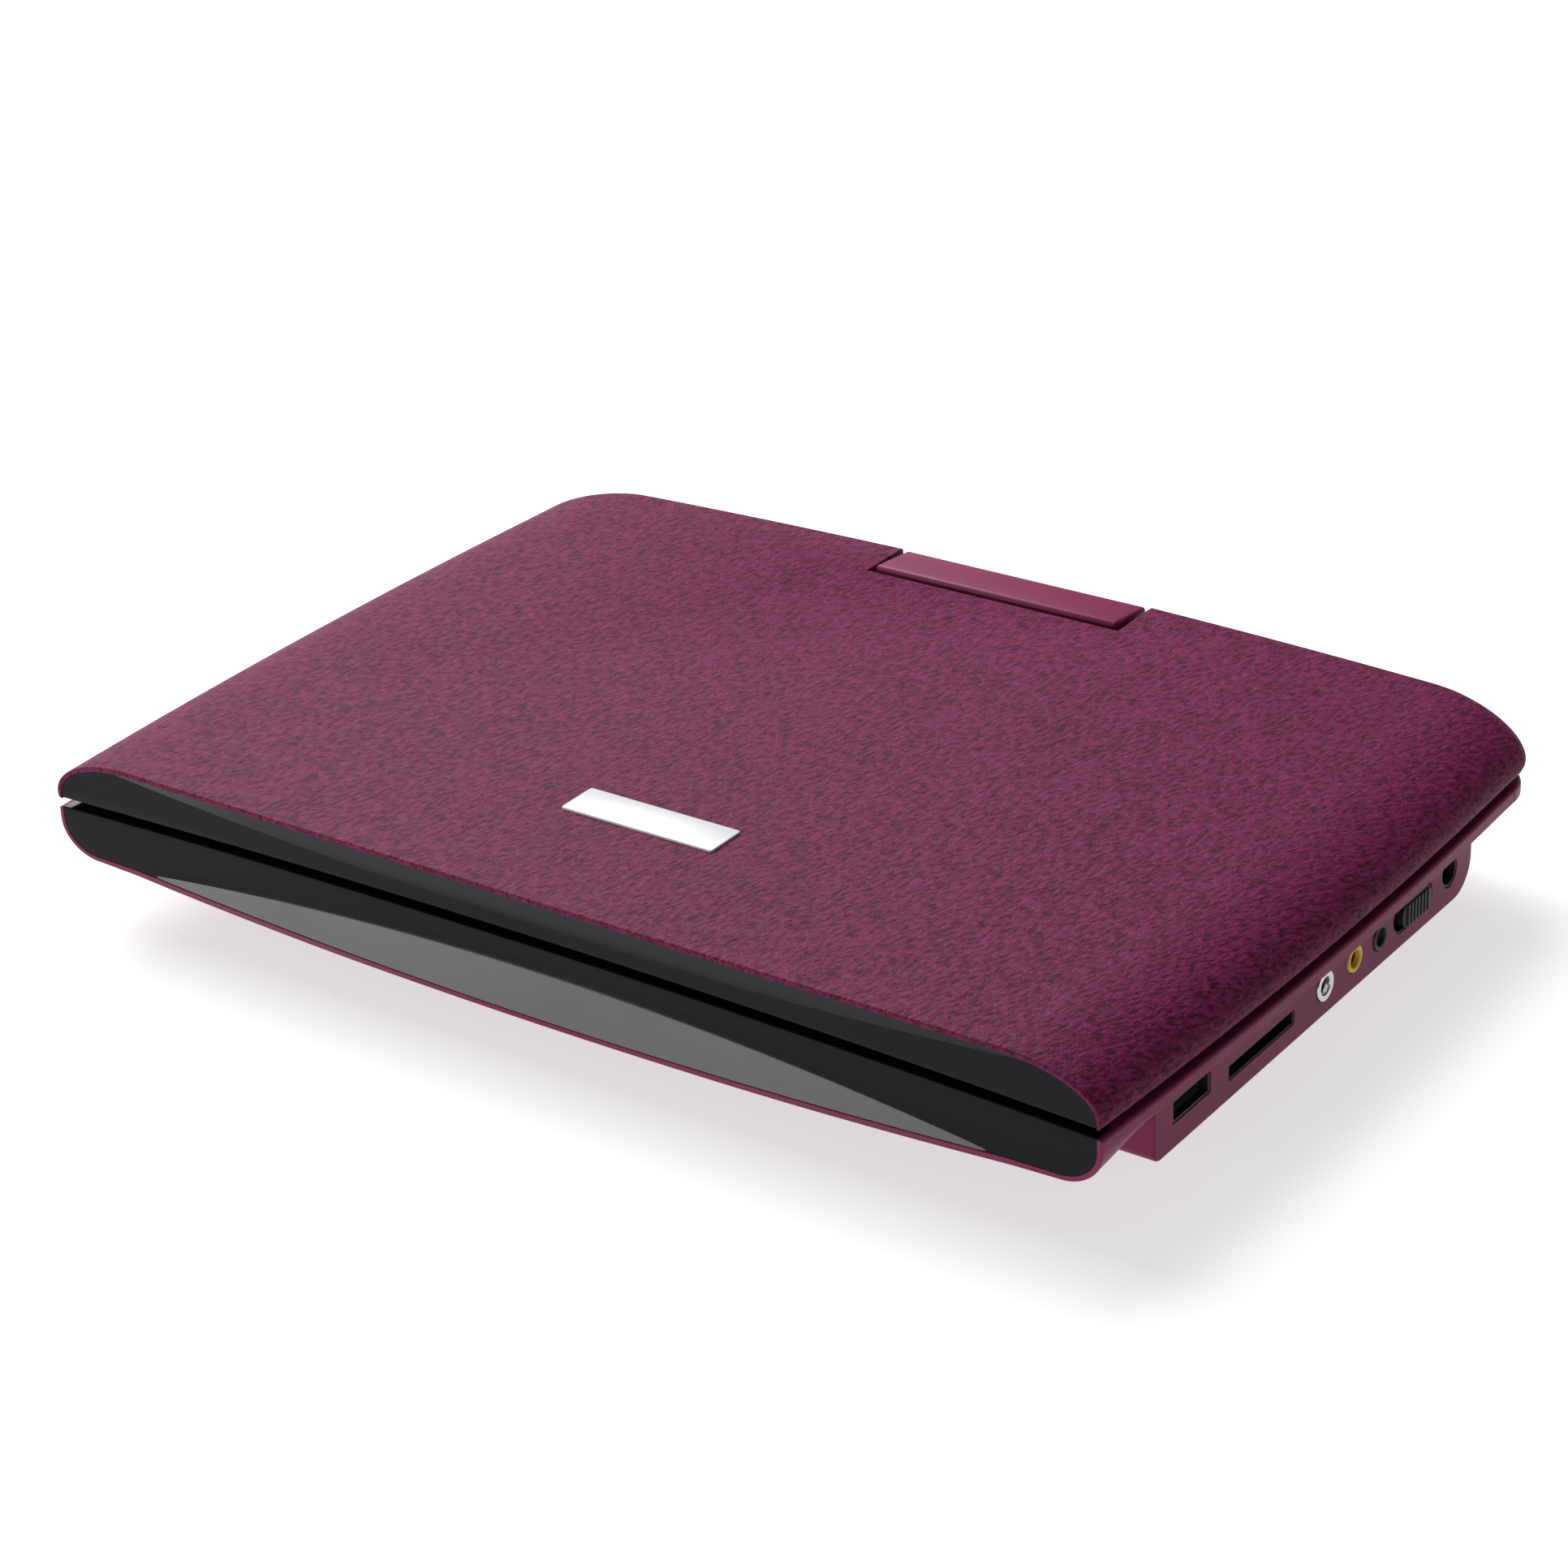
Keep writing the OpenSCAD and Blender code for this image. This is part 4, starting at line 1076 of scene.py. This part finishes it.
def sleeve(name, like, outer, inner):
    """A black lining in one of the panel's openings."""
    x0, x1 = PANEL_X + 0.1, BELLY_HALF - 0.25
    s = Shape()
    rows = [s.row([(x, y, z) for y, z in line]) for line in (outer, inner) for x in (x0, x1)]
    for a, b in ((0, 1), (1, 3), (3, 2), (2, 0)):
        s.bridge(rows[a], rows[b], close=True)
    return piece(make(name, s), like, slot="black_plastic")


sleeve("usb_lining", "usb_socket", slot_outline(USB, 6.85, 2.4, 0.45), slot_outline(USB, 6.3, 1.95, 0.2))
sleeve("card_lining", "card_socket", slot_outline(CARD, 12.55, 1.6, 0.55), slot_outline(CARD, 12.2, 1.3, 0.3))
sleeve("power_lining", "power_switch", stadium(*POWER, 16.5, 6.7), stadium(*POWER, 15.9, 6.1))
sleeve("inlet_lining", "dc_jack", arc(*DC_IN, 3.25, 0, 352.5, 47), arc(*DC_IN, 2.8, 0, 352.5, 47))
usb_y, usb_z = USB
shell = rounded_box("usb_shell", (104, usb_y - 6.8, 4.2), (116.5, usb_y + 6.8, usb_z + 2.75), 0.3)
shell = cut(shell, grid_box((105, usb_y - 6.3, usb_z - 2.35), (130, usb_y + 6.3, usb_z + 2.35)))
piece(shell, "usb_socket", "usb_socket")
piece(
    rounded_box("usb_tongue", (104.5, usb_y - 5.6, usb_z + 0.2), (113.6, usb_y + 5.6, usb_z + 1.9), 0.25),
    "usb_socket",
    slot="black_plastic",
)
contacts = []
for d in (-3.5, -1.1, 1.1, 3.5):
    low, high = (105.2, usb_y + d - 0.55, usb_z + 0.05), (113.75, usb_y + d + 0.55, usb_z + 0.45)
    contacts.append(rounded_box("contact", low, high, 0.12))
piece(join("usb_contacts", contacts), "usb_socket", slot="bronze", material=gold)

# Hinge block

BLOCK_HALF, BLOCK_FRONT, BLOCK_REAR, BLOCK_TOP, BLOCK_LOW = 31.0, 73.9, 87.0, 38.0, 29.2
FALL = math.tan(math.radians(4.8))


def block_side(i):
    """Side outline of the hinge block, inset by i."""
    top_r, rear_r = 0.9, 1.1
    front_top = BLOCK_TOP - 0.05
    rear_top = BLOCK_TOP - FALL * (BLOCK_REAR - BLOCK_FRONT)
    points = [(BLOCK_FRONT + i, BLOCK_LOW + i), (BLOCK_REAR - i, BLOCK_LOW + i)]
    points += arc(BLOCK_REAR - rear_r, rear_top - rear_r, rear_r - i, 0, 85, 5)
    points += arc(BLOCK_FRONT + top_r, front_top - top_r, top_r - i, 85, 180, 5)
    return points


ends = [(0.0, 0.7), (0.1, 0.4), (0.27, 0.2), (0.45, 0.07), (0.7, 0.0)]
levels = [(-BLOCK_HALF + a, block_side(b)) for a, b in ends]
levels += [(BLOCK_HALF - a, block_side(b)) for a, b in reversed(ends)]
block = prism("hinge_block_skin", "x", levels)
knuckle = [(84.2, 29.5), (84.2, 27)] + arc(86, 27, 1.8, 180, 360, 12)[1:] + [(87, 29.5)]
barrel_half = box_mm("hinge_block")[1].x - 5.5
barrel = prism("barrel", "x", [(-barrel_half, knuckle), (barrel_half, knuckle)])
piece(join("hinge_block_skin", [block, barrel]), "hinge_block", "hinge_block")

# Lid

NOTCH_HALF, NOTCH_FRONT = 32.4, 72.6


def notch_edge(a, b, angle):
    """True for the notch's edges on the lid's top."""
    on_top = min(a.z, b.z) > LID_TOP - 0.1 and min(a.y, b.y) > NOTCH_FRONT - 0.2
    return on_top and max(abs(a.x), abs(b.x)) < NOTCH_HALF + 0.2 and angle > 60


lid = lid_cover()
lid = cut(lid, grid_box((-NOTCH_HALF, NOTCH_FRONT, 20), (NOTCH_HALF, 100, 50)))
lid = soften(lid, notch_edge, 0.5)
piece(lid, "lid_shell", "lid_shell")

label_low, label_high = box_mm("badge")
steps = [(0.0, 0.0), (0.38, 0.0), (0.46, 0.05), (0.5, 0.16)]
levels = []
for h, i in steps:
    outline = round_rect(label_low.x + i, label_high.x - i, label_low.y + i, label_high.y - i, 0.6)
    levels.append((label_low.z + h, outline))
label = prism("plain_label", "z", levels)
piece(label, "badge", "badge")

# The rest keep their solids, with their edges rounded

SOFT_EDGES = {
    "battery_cover": 0.3,
    "rubber_feet": 0.4,
    "open_button": 0.35,
    "card_socket": 0.15,
    "dc_jack": 0.15,
    "power_knob": 0.14,
    "turntable": 0.2,
    "disc_lid": 0.35,
    "deck_cover": 0.25,
    "screen_bumpers": 0.4,
    "screen_screws": 0.25,
    "screen_bezel": 0.25,
    "indicator_window": 0.2,
    "hinge_brackets": 0.25,
    "optical_pickup": 0.2,
    "case_screws": 0.12,
    "key_membrane": 0.2,
    "swivel_bush": 0.2,
    "drive_chassis": 0.15,
}
for name in nodes:  # the keys
    if name.endswith("_key"):
        SOFT_EDGES[name] = 0.35
for name, width in SOFT_EDGES.items():
    piece(softened(name, width), name, name)
